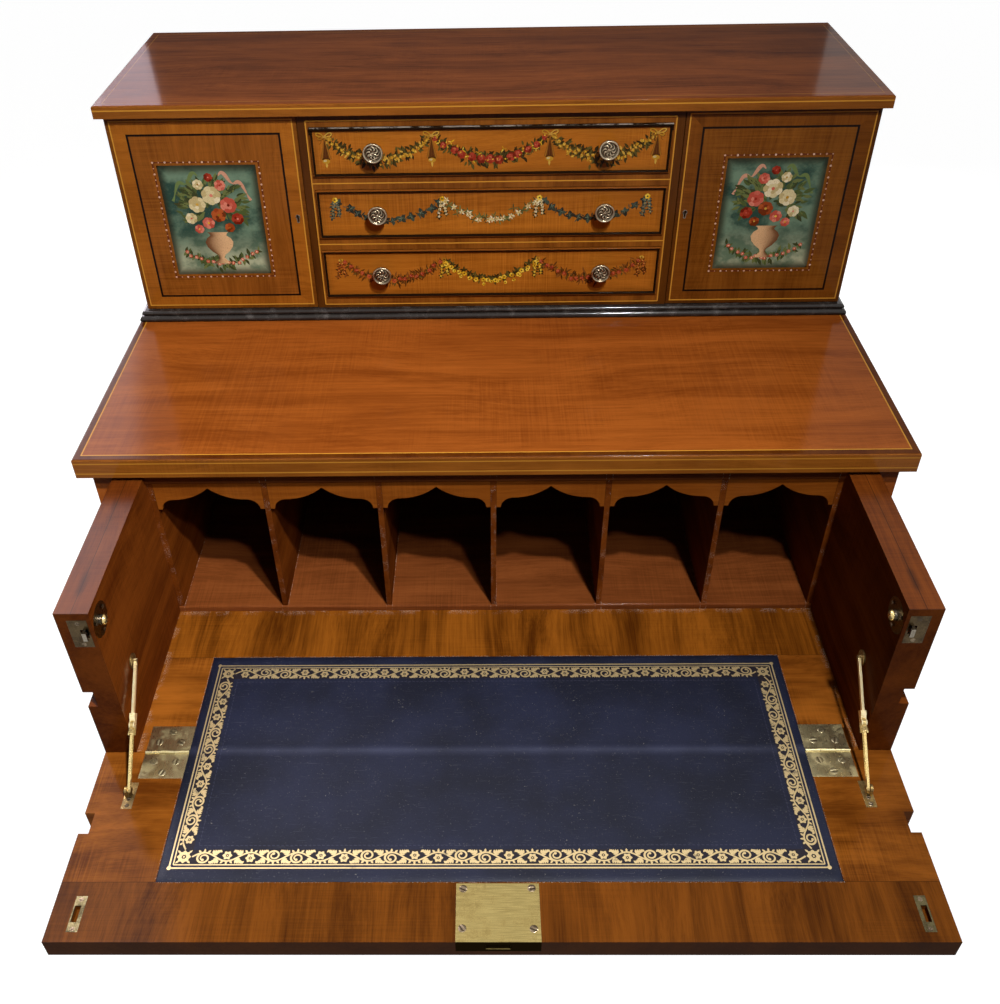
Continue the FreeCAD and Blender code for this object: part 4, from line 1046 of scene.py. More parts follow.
def toolSide(plane, origin, goal):
    # a vine n = middle + swing sin(pi t / pitch) runs along one side; its hollows hold scrolls of falling
    # radius and rosettes in turn, a lobed branch curls off on both sides of each crossing, and short lobes
    # stand on each crest
    s = toolSettings
    low, mid, high = s["lifts"]
    thick = s["thick"]
    length = np.linalg.norm(goal - origin)
    along = (goal - origin) / length
    inward = np.array([-along[1], along[0]])
    heading = math.atan2(along[1], along[0])
    lay = lambda t, n: origin + t[..., None] * along + n[..., None] * inward
    count = 2 * round((length - 2 * s["corner"]) / (2 * s["pitch"]))
    pitch = (length - 2 * s["corner"]) / count
    t = np.linspace(s["corner"], length - s["corner"], count * s["steps"]["vine"] + 1)
    vine = s["middle"] + s["swing"] * np.sin(np.pi * (t - s["corner"]) / pitch)
    parts = [ribbon(lay(t, vine), s["vine"], plane, 0.0, thick)]

    hollow = np.arange(count)
    sign = np.where(hollow % 2 == 0, 1.0, -1.0)
    middleT, middleN = s["corner"] + (hollow + 0.5) * pitch, s["middle"] - s["shift"] * sign
    rose = (hollow % 4 == 1) | (hollow % 4 == 2)
    turn = np.linspace(0, 1, s["steps"]["scroll"])[None]
    radius = s["scroll"][0] + (s["scroll"][1] - s["scroll"][0]) * turn
    angle = sign[:, None] * (np.pi / 2 + s["turns"] * turn)
    curl = lay(middleT[:, None] + s["stretch"] * radius * np.cos(angle),
               middleN[:, None] + radius * np.sin(angle))
    curl = curl[~rose]
    parts.append(ribbon(curl, s["scrollWidth"][0] - s["scrollWidth"][1] * turn, plane, low, thick))
    parts.append(stamp(discShape, plane, lifted(curl[:, -1], high), 0.0, (s["ball"], s["ball"], thick)))
    parts += rosettes(plane, lay(middleT, middleN)[rose], s["petals"][0], s["petal"], s["eye"])

    crossing = np.repeat(np.arange(1, count), 2)
    over = np.tile([1.0, -1.0], count - 1)[:, None]
    flip = np.where(crossing[:, None] % 2 == 0, over, -over)
    base = (s["corner"] + crossing * pitch)[:, None]
    out, back, root, tall = s["branch"]
    rise = lambda run: root + tall * np.sin(s["arch"] * run)
    branch = lambda run: lay(base + flip * (out - back * run), s["middle"] + over * rise(run))
    run = np.linspace(0, 1, s["steps"]["branch"])[None]
    parts.append(ribbon(branch(run), s["stem"][0] - s["stem"][1] * run, plane, low, thick))
    run = np.array(s["stations"] * 2)
    side = np.repeat([-1.0, 1.0], len(s["stations"]))
    lean = np.arctan2(s["arch"] * tall * np.cos(s["arch"] * run), -back) + s["lean"] * side
    long = (s["lobe"][0] - s["lobe"][1] * run) * np.where(side < 0, 1.0, s["innerLobe"])
    steep = np.maximum(np.sin(lean), s["leastRise"])
    room = np.where(steep > s["leastRise"], (s["reach"] - rise(run)) / steep, 1.0)
    long = np.tile(np.clip(np.minimum(long, room), s["leastLobe"], None), len(base))
    turned = heading + np.arctan2(over * np.sin(lean), flip * np.cos(lean)).ravel()
    places = branch(run).reshape(-1, 2)
    parts.append(stamp(leafShape, plane, lifted(places, mid), turned, dabSizes(long, s["full"], thick)))

    step = np.tile([-s["crestStep"], 0.0, s["crestStep"]], count)
    crest = np.repeat(sign, 3)
    crestN = s["middle"] + crest * (s["swing"] * np.cos(np.pi * step / pitch) + s["crestRise"])
    turned = heading + crest * (0.5 * np.pi - s["crestFan"] * step)
    places = lay(np.repeat(middleT, 3) + step, crestN)
    parts.append(stamp(leafShape, plane, lifted(places, mid), turned,
                       (s["crest"], s["full"] * s["crest"], thick)))

    corner = (origin + s["middle"] * (along + inward))[None]
    larger, wider = s["cornerRose"]
    parts += rosettes(plane, corner, s["petals"][1], larger * s["petal"], wider * s["eye"])
    spur = heading + np.pi / 4 + np.arange(4) * np.pi / 2
    tip = corner + s["spurWay"] * ringOf(spur)
    parts.append(stamp(leafShape, plane, lifted(tip, mid), spur, (*s["spur"], thick)))
    ball = s["cornerBall"]
    parts.append(stamp(discShape, plane, lifted(origin[None], high), 0.0, (ball, ball, thick)))
    return parts


def makeTooling():
    # fine lines round the skin, and a scrolled band inside them on each of the four sides
    s = toolSettings
    plane = topPlane(s["level"])
    inner = np.array([[-1, -1], [1, -1], [1, 1], [-1, 1]])
    corners = np.array([[s["half"], s["rear"]], [-s["half"], s["rear"]], [-s["half"], s["front"]],
                        [s["half"], s["front"]]])
    parts = []
    for inset, width in s["lines"]:
        loop = corners + inset * inner
        parts.append(ribbon(between(loop, np.roll(loop, -1, axis=0), s["lineSteps"]), width, plane, 0.0,
                            s["lineThick"]))
    for number in range(4):
        parts += toolSide(plane, corners[number], corners[(number + 1) % 4])
    return parts


tooling = buildPiece("leather_tooling", makeTooling(), "gilt")
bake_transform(tooling)
print("leather and its tooling laid")

# Knobs: on the small drawers, and larger ones under the fall
knobSettings = {
    "radius": 11.5, "blades": 8, "twist": 1.25, "relief": 1.1, "boss": 0.9, "beads": 44, "bead": 0.12,
    "angles": 176, "face": 8.3, "rings": 27, "rim": (30, 36), "rimHeight": 1.6,
    "radii": [8.6, 8.9, 9.3, 9.8, 10.3, 10.8, 11.2, 11.45, 11.5, 11.4, 11.1, 10.4, 9.0, 7.4, 6.2, 5.5, 5.1,
              5.0, 5.1, 5.6, 5.8, 5.8],
    "rises": [0.1, 0.6, 1.1, 1.45, 1.6, 1.5, 1.1, 0.4, -0.6],
    "drops": [1.6, 2.4, 3.2, 4.2, 5.4, 6.8, 8.4, 9.8, 11.8, 13.0, 14.0, 14.5], "drop": 14.8,
    "dark": (54, 44, 33), "light": (176, 160, 134), "swirl": 0.9, "ridge": (0.5, 1.1), "root": (0.18, 0.82),
    "hub": 0.22, "rimTone": (0.85, 0.15), "neckTone": 0.35,
    "small": (11.5, 14.0, 0.133), "levels": {"bottom": 1.0200, "middle": 1.0975, "top": 1.1720},
    "large": (16.0, 24.0, 0.230), "underFall": (-0.3825, 0.6970)}


def knobSurface(radius, height, plane):
    # a profile of radius and height turned once round; on the face a relief that follows
    # sin(blades * (angle + twist r)), and small beads round the rim; radius and height are in millimetres
    s = knobSettings
    scale = radius / s["radius"]
    face = height - s["rimHeight"] * scale
    r = np.concatenate([np.linspace(0, s["face"], s["rings"]), s["radii"]]) * scale
    h = np.concatenate([np.full(s["rings"], face), face + np.array(s["rises"]) * scale,
                        face - np.array(s["drops"]) * face / s["drop"], [0.0]])
    ring = np.arange(len(r))[:, None]
    onFace, onRim = ring < s["rings"], (ring >= s["rim"][0]) & (ring < s["rim"][1])
    r, angle = crossed(r, np.arange(s["angles"]) * 2 * np.pi / s["angles"])
    share = np.clip(r / (s["face"] * scale), 0, 1)
    swirl = np.cos(s["blades"] * (angle + s["twist"] * np.sin(np.pi * share * s["swirl"])))
    inner, wide = s["root"]
    ridge = np.clip(s["ridge"][0] + s["ridge"][1] * swirl, 0, 1)
    blade = ridge * np.sin(np.pi * np.clip((share - inner) / wide, 0, 1)) ** 0.5
    boss = np.clip(1 - (share / s["hub"]) ** 2, 0, 1)
    bead = np.cos(s["beads"] * angle)
    h = h[:, None] + onFace * scale * (s["relief"] * blade + s["boss"] * boss)
    r = r + onRim * scale * s["bead"] * bead
    bright = np.where(onRim, s["rimTone"][0] + s["rimTone"][1] * bead, s["neckTone"])
    bright = np.where(onFace, np.clip(blade + boss, 0, 1), bright)
    dark, light = np.array(tone(*s["dark"])), np.array(tone(*s["light"]))
    colours = dark + (light - dark) * bright[..., None]
    where = onPlane(plane, r * mm * np.cos(angle), r * mm * np.sin(angle), h * mm)
    return where, quadGrid(*r.shape, wrapColumns=True), colours.reshape(-1, 4)


radius, height, span = knobSettings["small"]
for name, level in knobSettings["levels"].items():
    turned = [knobSurface(radius, height, frontPlane(frontFace, side * span, level)) for side in (-1, 1)]
    piece = buildPiece(name + "_cast_knobs", turned, "knob", name + "_small_drawer", weld=True)
    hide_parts(name + "_drawer_knobs")
radius, height, span = knobSettings["large"]
under = knobSettings["underFall"]
turned = [knobSurface(radius, height, (np.array([side * span, *under]), xAxis, -yAxis, -zAxis))
          for side in (-1, 1)]
piece = buildPiece("fall_cast_knobs", turned, "knob", "fall", weld=True)
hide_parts("fall_knobs")
print("knobs turned")

# Screws; the flush ones are in plates that meet when the fall is shut
screwSettings = {
    "hinge": (8.2 * mm, 0.35 * mm), "lock": (7.6 * mm, 0.4 * mm), "small": (4.6 * mm, 0.35 * mm),
    "flush": (4.6 * mm, 0.05 * mm),
    "rearLeaf": [(0.3445, -0.2530), (0.3330, -0.2665), (0.3560, -0.2665)],
    "frontLeaf": [(0.3445, -0.3050), (0.3330, -0.2915), (0.3560, -0.2915)],
    "lockPlate": [(-0.0320, -0.4345), (0.0315, -0.4340), (-0.0325, -0.4730), (0.0320, -0.4735)],
    "lug": [(0.3705, -0.3440), (0.3705, -0.3365)], "strike": [(0.3860, -0.4450), (0.3860, -0.4735)],
    "catchFace": -0.2790, "catch": [(0.3905, 0.9135), (0.3905, 0.8860)],
    "wall": 0.3758, "rose": (0.2600, 0.9000), "roseRing": 12.5 * mm, "roseAngles": np.array([0.6, 2.7, 4.7])}
screwRandom = np.random.default_rng(5)


def screws(kind, plane, places):
    # one screw at each place, its slot turned at random
    wide, high = screwSettings[kind]
    at = lifted(np.array(places), 0.0)
    return stamp(screwShape, plane, at, screwRandom.uniform(0, np.pi, len(at)), (wide, wide, high))


def rightAndLeft(name):
    # the places of that name on both sides of the middle
    return [(side * u, v) for side in (-1, 1) for u, v in screwSettings[name]]


def makeScrews():
    # the drawer's screws and the fall's, each with the hinges' own first
    s = screwSettings
    desk = topPlane(deskLevel)
    drawer = [screws("hinge", desk, rightAndLeft("rearLeaf"))]
    for side in (-1, 1):
        wall = (side * s["wall"] * xAxis, yAxis * -side, zAxis, -xAxis * side)
        rose = np.array([side * s["rose"][0], s["rose"][1]])
        drawer.append(screws("small", wall, rose + s["roseRing"] * ringOf(s["roseAngles"])))
        drawer.append(screws("flush", frontPlane(s["catchFace"]), [(side * u, v) for u, v in s["catch"]]))
    fall = [screws("hinge", desk, rightAndLeft("frontLeaf")), screws("lock", desk, s["lockPlate"]),
            screws("small", desk, rightAndLeft("lug")), screws("flush", desk, rightAndLeft("strike"))]
    return ("drawer", "writing_drawer", drawer), ("fall", "fall", fall)


for name, body, parts in makeScrews():
    buildPiece(name + "_hinge_screws", parts[:1], "hingeScrew", body)
    buildPiece(name + "_screws", parts[1:], "screw", body)
print("screws driven")

# Folding stays: flat arms that meet in a rule joint
staySettings = {"head": (-0.2270, 0.8040), "foot": (-0.3310, 0.7265), "headX": 0.3731, "footX": 0.3700,
                "middleX": 0.37155, "tongue": 2.6 * mm, "joint": 5.6 * mm, "halfJoint": 3.7 * mm,
                "fine": 0.05 * mm, "upperBlock": 11.5 * mm, "lowerBlock": 10.5 * mm, "slack": 0.25 * mm,
                "fold": 0.455, "end": 2.4 * mm, "bar": (1.9 * mm, 0.5 * mm), "columns": 7}


def staySlab(run, half, sideX, thick, mirror):
    # run and half are grids of the place along the stay and across it; the slab stands either side of sideX
    s = staySettings
    head, foot = np.array(s["head"]), np.array(s["foot"])
    along = (foot - head) / np.linalg.norm(foot - head)
    across = np.array([along[1], -along[0]])
    flat = (head + foot) / 2 + run[..., None] * along + half[..., None] * across
    sideX = np.broadcast_to(sideX, run.shape)
    outer, inner = (np.stack([mirror * (sideX + hand * thick / 2), flat[..., 0], flat[..., 1]], -1)
                    for hand in (1, -1))
    return closedSlab(outer, inner)


def roundedRun(start, stop, halfWidth, rows, startRound=False, stopRound=False):
    # rows from start to stop; a rounded end narrows as the root of r r - d d, d the way past its centre
    run = np.linspace(0, 1, rows)
    if startRound or stopRound:
        run = 0.5 - 0.5 * np.cos(np.pi * run)
    run = start + (stop - start) * run
    half = halfWidth(run)
    for asked, way in ((startRound, run - start), (stopRound, stop - run)):
        if asked:
            reach = np.clip(half - way, 0, None)
            half = np.where(way < half, np.sqrt(np.clip(half ** 2 - reach ** 2, 1e-9, None)), half)
    columns = staySettings["columns"]
    return np.repeat(run[:, None], columns, 1), half[:, None] * np.linspace(-1, 1, columns)[None]


def rootOf(radius, way):
    # the other side of a right triangle: the root of r r - d d
    return np.sqrt(np.clip(radius ** 2 - way ** 2, 0, None))


def relieved(run, half):
    # on the side to which the arms fold, an edge keeps inside the joint's circle or behind a slope
    s = staySettings
    free = np.maximum(rootOf(s["halfJoint"], run) - s["fine"], s["fold"] * np.abs(run) - s["slack"])
    return np.where(half > 0, np.minimum(half, free), half)


def makeStay(mirror):
    # each arm is a bar; the upper one ends in two cheeks round a filling, the lower one in a tongue between
    # two blocks; filling and blocks start behind the joint's circle and behind the slope
    s = staySettings
    joint, middle, upperBlock, lowerBlock = s["halfJoint"], s["middleX"], s["upperBlock"], s["lowerBlock"]
    length = math.dist(s["head"], s["foot"]) / 2
    side = (s["joint"] + s["tongue"] + s["slack"]) / 4 + s["slack"] / 8
    cheek = (s["joint"] - s["tongue"]) / 2 - s["slack"]
    hollow = lambda half: np.maximum(rootOf(joint + s["slack"], half), (half + s["slack"]) / s["fold"])
    barHalf = lambda run: s["bar"][0] + s["bar"][1] * (1 - np.abs(run) / length)
    tongue = lambda run: np.where(run < lowerBlock - 1 * mm, joint - s["fine"], barHalf(run))
    flat = lambda run: np.full_like(run, joint)
    slope = lambda run, goal: middle + (s[goal] - middle) * np.clip(run / length, 0, 1)

    run, half = roundedRun(-length - s["end"], 0.5 * mm - upperBlock, barHalf, 40, startRound=True)
    upper = [staySlab(run, half, slope(-run, "headX"), s["tongue"], mirror)]
    run, half = roundedRun(-upperBlock, joint, flat, 26, stopRound=True)
    upper += [staySlab(run, relieved(run, half), middle + hand * side, cheek, mirror) for hand in (-1, 1)]
    run, half = roundedRun(-upperBlock, 0.0, flat, 8)
    run = -upperBlock + (run + upperBlock) / upperBlock * (upperBlock - hollow(half))
    upper.append(staySlab(run, half, middle, s["tongue"] + 2 * s["slack"], mirror))

    run, half = roundedRun(s["fine"] - joint, length + s["end"], tongue, 90, startRound=True, stopRound=True)
    lower = [staySlab(run, relieved(run, half), slope(run, "footX"), s["tongue"], mirror)]
    run, half = roundedRun(0.0, lowerBlock, flat, 8)
    run = hollow(half) + run / lowerBlock * (lowerBlock - hollow(half))
    lower += [staySlab(run, half, middle + hand * side, cheek, mirror) for hand in (-1, 1)]
    return ("upper", "stayBrass", upper), ("lower", "stayDull", lower)


for name, mirror in sides:
    for part, finish, parts in makeStay(mirror):
        piece = buildPiece(f"{name}_{part}_stay_arm", parts, finish, f"{name}_stay_{part}_arm",
                           weld=True, smooth=False)
        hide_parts(f"{name}_stay_{part}")
print("stays jointed")

# Push buttons of the spring catches
buttonSettings = {"middle": (-0.2600, 0.9000), "root": 0.3764, "radius": 5.4 * mm, "height": 6.4 * mm,
                  "angles": 48, "neck": ([0.55, 0.55, 0.78, 0.96], [0.0, 0.16, 0.22, 0.30]), "dome": 0.40}


def makeButton(mirror):
    # a short neck and a dome whose radius is the cosine of its rise, turned about X
    s = buttonSettings
    rise = np.linspace(0, np.pi / 2, 13)
    r = np.concatenate([s["neck"][0], np.cos(rise)]) * s["radius"]
    h = np.concatenate([s["neck"][1], s["dome"] + (1 - s["dome"]) * np.sin(rise)]) * s["height"]
    r, angle = crossed(r, np.arange(s["angles"]) * 2 * np.pi / s["angles"])
    plane = (np.array([mirror * s["root"], *s["middle"]]), yAxis, zAxis, -mirror * xAxis)
    where = onPlane(plane, r * np.cos(angle), r * np.sin(angle), np.broadcast_to(h[:, None], r.shape))
    return where, quadGrid(*r.shape, wrapColumns=True)


for name, mirror in sides:
    buildPiece(name + "_catch_button", [makeButton(mirror)], "buttonBrass", name + "_catch_bar",
               weld=True)
print("catch buttons set")

# Painted swags on the small drawers
paintRandom = np.random.default_rng(11)
swagSettings = {
    "top": {"level": 1.1690, "head": 0.0180, "posts": (-0.1880, -0.0670, 0.0670, 0.1880), "sag": 0.0280},
    "middle": {"level": 1.0945, "head": 0.0170, "posts": (-0.1830, -0.0570, 0.0570, 0.1830), "sag": 0.0255},
    "bottom": {"level": 1.0170, "head": 0.0170, "posts": (-0.1830, -0.0570, 0.0570, 0.1830), "sag": 0.0260},
}
paintTones = {
    "gold": ((186, 138, 40), (158, 106, 28), (206, 162, 66)),
    "olive": ((58, 52, 22), (84, 76, 32), (38, 32, 14)),
    "bronze": ((158, 108, 40), (122, 76, 24), (190, 142, 66)),
    "rose": ((148, 40, 26), (168, 56, 38), (112, 26, 16)),
    "brick": ((176, 76, 52), (190, 94, 68), (158, 56, 40)),
    "pink": ((204, 100, 82), (220, 130, 108), (188, 78, 62)),
    "blueGreen": ((42, 56, 46), (58, 74, 60), (28, 38, 33)),
    "paleGreen": ((92, 108, 92), (112, 124, 100), (74, 92, 84)),
    "cream": ((218, 202, 152), (234, 220, 180), (196, 176, 122)),
    "fern": ((74, 92, 50), (104, 116, 66), (52, 66, 38)),
    "yellow": ((220, 174, 36), (236, 200, 72), (188, 136, 26)),
    "russet": ((152, 62, 26), (178, 84, 38), (110, 44, 18)),
    "brown": ((96, 52, 18), (72, 36, 12), (124, 72, 28)),
}
dabTones = {name: np.array([tone(*one) for one in three]) for name, three in paintTones.items()}
dabThick = 0.05 * mm


def pick(name, count):
    # one of the three tones of a colour for each dab
    return dabTones[name][paintRandom.integers(0, 3, count)]


def swagLine(start, stop, head, sag, count):
    # a parabola that hangs between two posts, with the direction of its tangent
    s = np.linspace(0.03, 0.97, count)
    u = start + (stop - start) * s
    v = head - sag * (1 - (2 * s - 1) ** 2)
    slope = np.arctan2(4 * sag * (2 * s - 1), stop - start)
    return s, u, v, slope


def strewn(u, v, alongSpread, spread, full):
    # places set off at random along the line and, where the swag is full, across it
    return np.stack([u + paintRandom.normal(0, alongSpread, len(u)),
                     v + paintRandom.normal(0, spread, len(u)) * full], 1)


def scatter(line, spread):
    # places near the line, set off by a normal spread that is widest in the middle
    s, u, v, slope = line
    return strewn(u, v, 1.0 * mm, spread, 0.4 + 0.6 * np.sin(np.pi * s))


def leaves(plane, line, each, spread, size, name, lift=0.05 * mm, wide=0.42):
    # leaves on each station of the line, turned out from it on both sides; the middle of the swag is fuller
    s, u, v, slope = (np.repeat(part, each) for part in line)
    count = len(s)
    full = 0.45 + 0.55 * np.sin(np.pi * s)
    turn = slope + paintRandom.choice([-1, 1], count) * paintRandom.uniform(0.5, 2.4, count)
    at = strewn(u, v, 1.2 * mm, spread, full)
    long = size * paintRandom.uniform(0.7, 1.25, count) * (0.6 + 0.4 * full)
    return stamp(leafShape, plane, lifted(at, lift), turn, dabSizes(long, wide), pick(name, count))


def petalTurns(at, petals):
    # even angles round each place, from a start at random
    return (np.arange(petals) * 2 * np.pi / petals)[None] + paintRandom.uniform(0, 6, len(at))[:, None]


def sprays(plane, at, petals, size, wide, name, lift=0.08 * mm):
    # narrow petals spring from each place in all directions
    turn = petalTurns(at, petals)
    turn = (turn + paintRandom.normal(0, 0.15, turn.shape)).ravel()
    long = size * paintRandom.uniform(0.8, 1.2, len(turn))
    at = lifted(np.repeat(at, petals, axis=0), lift)
    return stamp(leafShape, plane, at, turn, dabSizes(long, wide), pick(name, len(turn)))


def flowers(plane, at, size, petalName, eyeName, petals=5, lift=0.10 * mm):
    # round petals stand in a ring about each place, with an eye in the middle
    at = np.asarray(at, float)
    size = np.broadcast_to(size, len(at))
    ring = at[:, None] + 0.30 * size[:, None, None] * ringOf(petalTurns(at, petals))
    wide = np.repeat(size, petals) * 0.56
    petal = stamp(discShape, plane, lifted(ring.reshape(-1, 2), lift), 0.0, dabSizes(wide, 1.0),
                  pick(petalName, len(wide)))
    return [petal, stamp(discShape, plane, lifted(at, lift + dabThick), 0.0, dabSizes(size * 0.36, 1.0),
                         pick(eyeName, len(at)))]


def roses(plane, at, size, outer, inner, lift=0.12 * mm):
    # a ring of petals that carries a smaller, paler ring a little above its middle
    size = np.broadcast_to(size, len(at))
    raised = np.asarray(at, float) + size[:, None] * [-0.06, 0.10]
    ring = flowers(plane, at, size, outer, outer, 6, lift)
    return ring + flowers(plane, raised, 0.5 * size, inner, outer, 4, lift + 0.1 * mm)


bowSettings = {"shadow": (0.4, -0.6), "lean": (0.42, np.pi - 0.42, -0.30, np.pi + 0.30), "swing": 0.40,
               "long": (9.4, 9.4, 7.2, 7.2), "tail": (7.0, 1.2, 8.5), "shade": (1.6, 0.11, 0.03),
               "loop": (1.3, 0.16, 0.04), "end": (1.3, 0.7, 0.14, 0.04), "knot": (3.0, 0.22)}


def bow(plane, u, v):
    # four loops of ribbon, each as far out as a sine while its angle swings as a cosine, over their own
    # shade, with two tails and a knot
    b = bowSettings
    s = np.linspace(0, np.pi, 25)[None]
    lean, long = np.array(b["lean"])[:, None], np.array(b["long"])[:, None] * mm
    loops = [u, v] + (long * np.sin(s))[..., None] * ringOf(lean + b["swing"] * np.cos(s))
    run = np.linspace(0, 1, 12)[None]
    side = np.array([-1.0, 1.0])[:, None]
    out, wave, down = b["tail"]
    tails = np.stack([u + side * (out * run + wave * np.sin(6 * run)) * mm,
                      np.repeat(v - down * mm * run, 2, axis=0)], -1)
    parts = []
    for path, (wide, lift, crown), colours in (
            (loops + np.array(b["shadow"]) * mm, b["shade"], dabTones["brown"][0]),
            (loops, b["loop"], dabTones["gold"][[2, 0, 0, 1]])):
        parts.append(ribbon(path, wide * mm, plane, lift * mm, crown * mm, colours))
    wide, taper, lift, crown = b["end"]
    parts.append(ribbon(tails, (wide - taper * run) * mm, plane, lift * mm, crown * mm,
                        dabTones["bronze"][1]))
    wide, lift = b["knot"]
    knot = (wide * mm, wide * mm, dabThick)
    return parts + [stamp(discShape, plane, [u, v, lift * mm], 0.0, knot, dabTones["bronze"][2])]


tasselDabs = [(discShape, 0.0, 25.5, 0.14, 0.0, 9.8, 3.4, "brown", 1),
              (discShape, 0.0, 28.2, 0.20, 0.0, 8.8, 5.6, "gold", 0),
              (discShape, -1.2, 27.5, 0.24, 0.0, 4.0, 2.6, "cream", 2),
              (leafShape, 0.0, 30.0, 0.22, -np.pi / 2, 6.2, 2.6, "gold", 2)]


tasselSettings = {"fan": 0.19, "strands": 7, "edge": 0.02, "knot": 2, "long": 24,
                  "strand": (3.6, 0.10, 0.05), "outer": (1.2, 0.16, 0.04), "tones": [2, 0, 1, 0, 1, 0, 2]}


def tassel(plane, u, v):
    # strands fan from the knot, over a dark foot, and a bell with a tip hangs below
    t = tasselSettings
    fan = np.linspace(-t["fan"], t["fan"], t["strands"])
    edge = np.array([fan[0] - t["edge"], fan[-1] + t["edge"]])
    parts = []
    for turn, (wide, lift, thick), colours in (
            (fan, t["strand"], dabTones["brown"][t["tones"]]), (edge, t["outer"], dabTones["gold"][1])):
        knot = lifted(np.tile([u, v - t["knot"] * mm], (len(turn), 1)), lift * mm)
        size = np.array([t["long"], wide, thick]) * mm
        parts.append(stamp(coneShape, plane, knot, turn - np.pi / 2, size, colours))
    for shape, across, down, lift, turn, long, wide, name, number in tasselDabs:
        parts.append(stamp(shape, plane, [u + across * mm, v - down * mm, lift * mm], turn,
                           (long * mm, wide * mm, dabThick), dabTones[name][number]))
    return parts


dropSettings = {"length": 21 * mm, "strings": ((-3 * mm, 1.0), (3 * mm, 0.86)), "first": 3 * mm, "count": 5,
                "spread": 0.5 * mm, "leaf": (4, 4.2 * mm, 0.5), "bloom": 3.8 * mm, "taper": (1.1, 0.7)}


def drop(plane, u, v, petalName, leafName):
    # two strings of leaves and small flowers hang side by side from one post
    s = dropSettings
    count, length = s["count"], s["length"]
    parts = []
    for off, share in s["strings"]:
        down = np.linspace(s["first"], share * length, count)
        across = u + off * (0.5 + down / length) + paintRandom.normal(0, s["spread"], count)
        at = np.stack([across, v - down], 1)
        parts.append(sprays(plane, at, *s["leaf"], leafName))
        parts += flowers(plane, at, s["bloom"] * np.linspace(*s["taper"], count), petalName, "gold", 4)
    return parts


def topSwag(plane, line, side):
    # gold flowers among dark leaves at the sides, and red roses that grow towards the middle of the centre
    parts = [leaves(plane, line(44), 6, 3.2 * mm, 7.0 * mm, "olive")]
    if side:
        parts.append(leaves(plane, line(34), 1, 3.2 * mm, 5.0 * mm, "gold", 0.09 * mm))
        return parts + flowers(plane, scatter(line(40), 3.2 * mm), 3.6 * mm, "gold", "yellow", 4)
    parts.append(sprays(plane, scatter(line(22), 4.4 * mm), 3, 4.2 * mm, 0.3, "yellow"))
    size = (6.0 + 3.6 * np.sin(np.pi * line(13)[0])) * mm
    parts += roses(plane, scatter(line(13), 0.6 * mm), size, "rose", "brick")
    return parts + flowers(plane, scatter(line(18), 4.2 * mm), 1.8 * mm, "yellow", "gold", 4, 0.24 * mm)


def middleSwag(plane, line, side):
    # separate leafy sprigs at the sides, and starry flowers among thin stems in the centre
    if side:
        places = scatter(line(12), 0.5 * mm)
        return [sprays(plane, scatter(line(15), 1.2 * mm), 3, 5.6 * mm, 0.26, "blueGreen"),
                sprays(plane, places, 4, 6.2 * mm, 0.70, "blueGreen"),
                sprays(plane, places + [-0.4 * mm, 0.6 * mm], 4, 3.4 * mm, 0.22, "paleGreen", 0.14 * mm)]
    parts = [sprays(plane, scatter(line(30), 3.4 * mm), 4, 5.8 * mm, 0.24, "fern")]
    for places in (scatter(line(12), 0.9 * mm), scatter(line(5), 3.4 * mm)):
        parts.append(sprays(plane, places, 5, 4.2 * mm, 0.40, "cream", 0.14 * mm))
        parts.append(stamp(discShape, plane, lifted(places, 0.20 * mm), 0.0, (1.8 * mm, 1.8 * mm, dabThick),
                           pick("gold", len(places))))
    return parts


def bottomSwag(plane, line, side):
    # small roses on thin brown leaves at the sides, and yellow flowers below dark leaves in the centre
    if side:
        return [leaves(plane, line(34), 5, 2.4 * mm, 8.2 * mm, "brown", wide=0.26),
                leaves(plane, line(26), 3, 2.0 * mm, 5.2 * mm, "olive"),
                *roses(plane, scatter(line(17), 1.8 * mm), 5.6 * mm, "russet", "brick")]
    high = scatter(line(17), 0.8 * mm) + [0, 2.4 * mm]
    low = scatter(line(16), 1.2 * mm) - [0, 1.8 * mm]
    parts = [sprays(plane, high, 5, 5.6 * mm, 0.44, "olive"),
             leaves(plane, line(28), 3, 1.8 * mm, 5.0 * mm, "olive")]
    parts += flowers(plane, low, 5.4 * mm, "yellow", "brown", 5, 0.14 * mm)
    lowest = scatter(line(13), 1.6 * mm) - [0, 4.8 * mm]
    return parts + flowers(plane, lowest, 4.0 * mm, "yellow", "brown", 5, 0.14 * mm)


swagKinds = {
    "top": (topSwag, None),
    "middle": (middleSwag, ("paleGreen", "blueGreen", "cream", "yellow", "olive", 5.8)),
    "bottom": (bottomSwag, ("russet", "brown", "yellow", "gold", "brown", 5.0)),
}


def paintDrawer(name):
    # three swags between four posts, and what hangs from each post
    s = swagSettings[name]
    plane = frontPlane(frontFace, 0.0, s["level"])
    head, posts = s["head"], s["posts"]
    swag, hung = swagKinds[name]
    parts = []
    for number in range(3):
        line = lambda count: swagLine(posts[number], posts[number + 1], head, s["sag"], count)
        parts += swag(plane, line, number != 1)
    for number, post in enumerate(posts):
        if hung:
            outerPetal, outerLeaf, innerPetal, bloom, eye, wide = hung
            petal, leaf = (outerPetal, outerLeaf) if number in (0, 3) else (innerPetal, "olive")
            parts += drop(plane, post, head, petal, leaf)
            parts += flowers(plane, [(post, head + 1 * mm)], wide * mm, bloom, eye, lift=0.18 * mm)
        else:
            parts += tassel(plane, post, head) + bow(plane, post, head)
    buildPiece(name + "_drawer_swags", parts, "paint", name + "_small_drawer")


for name in swagSettings:
    paintDrawer(name)
print("swags painted")


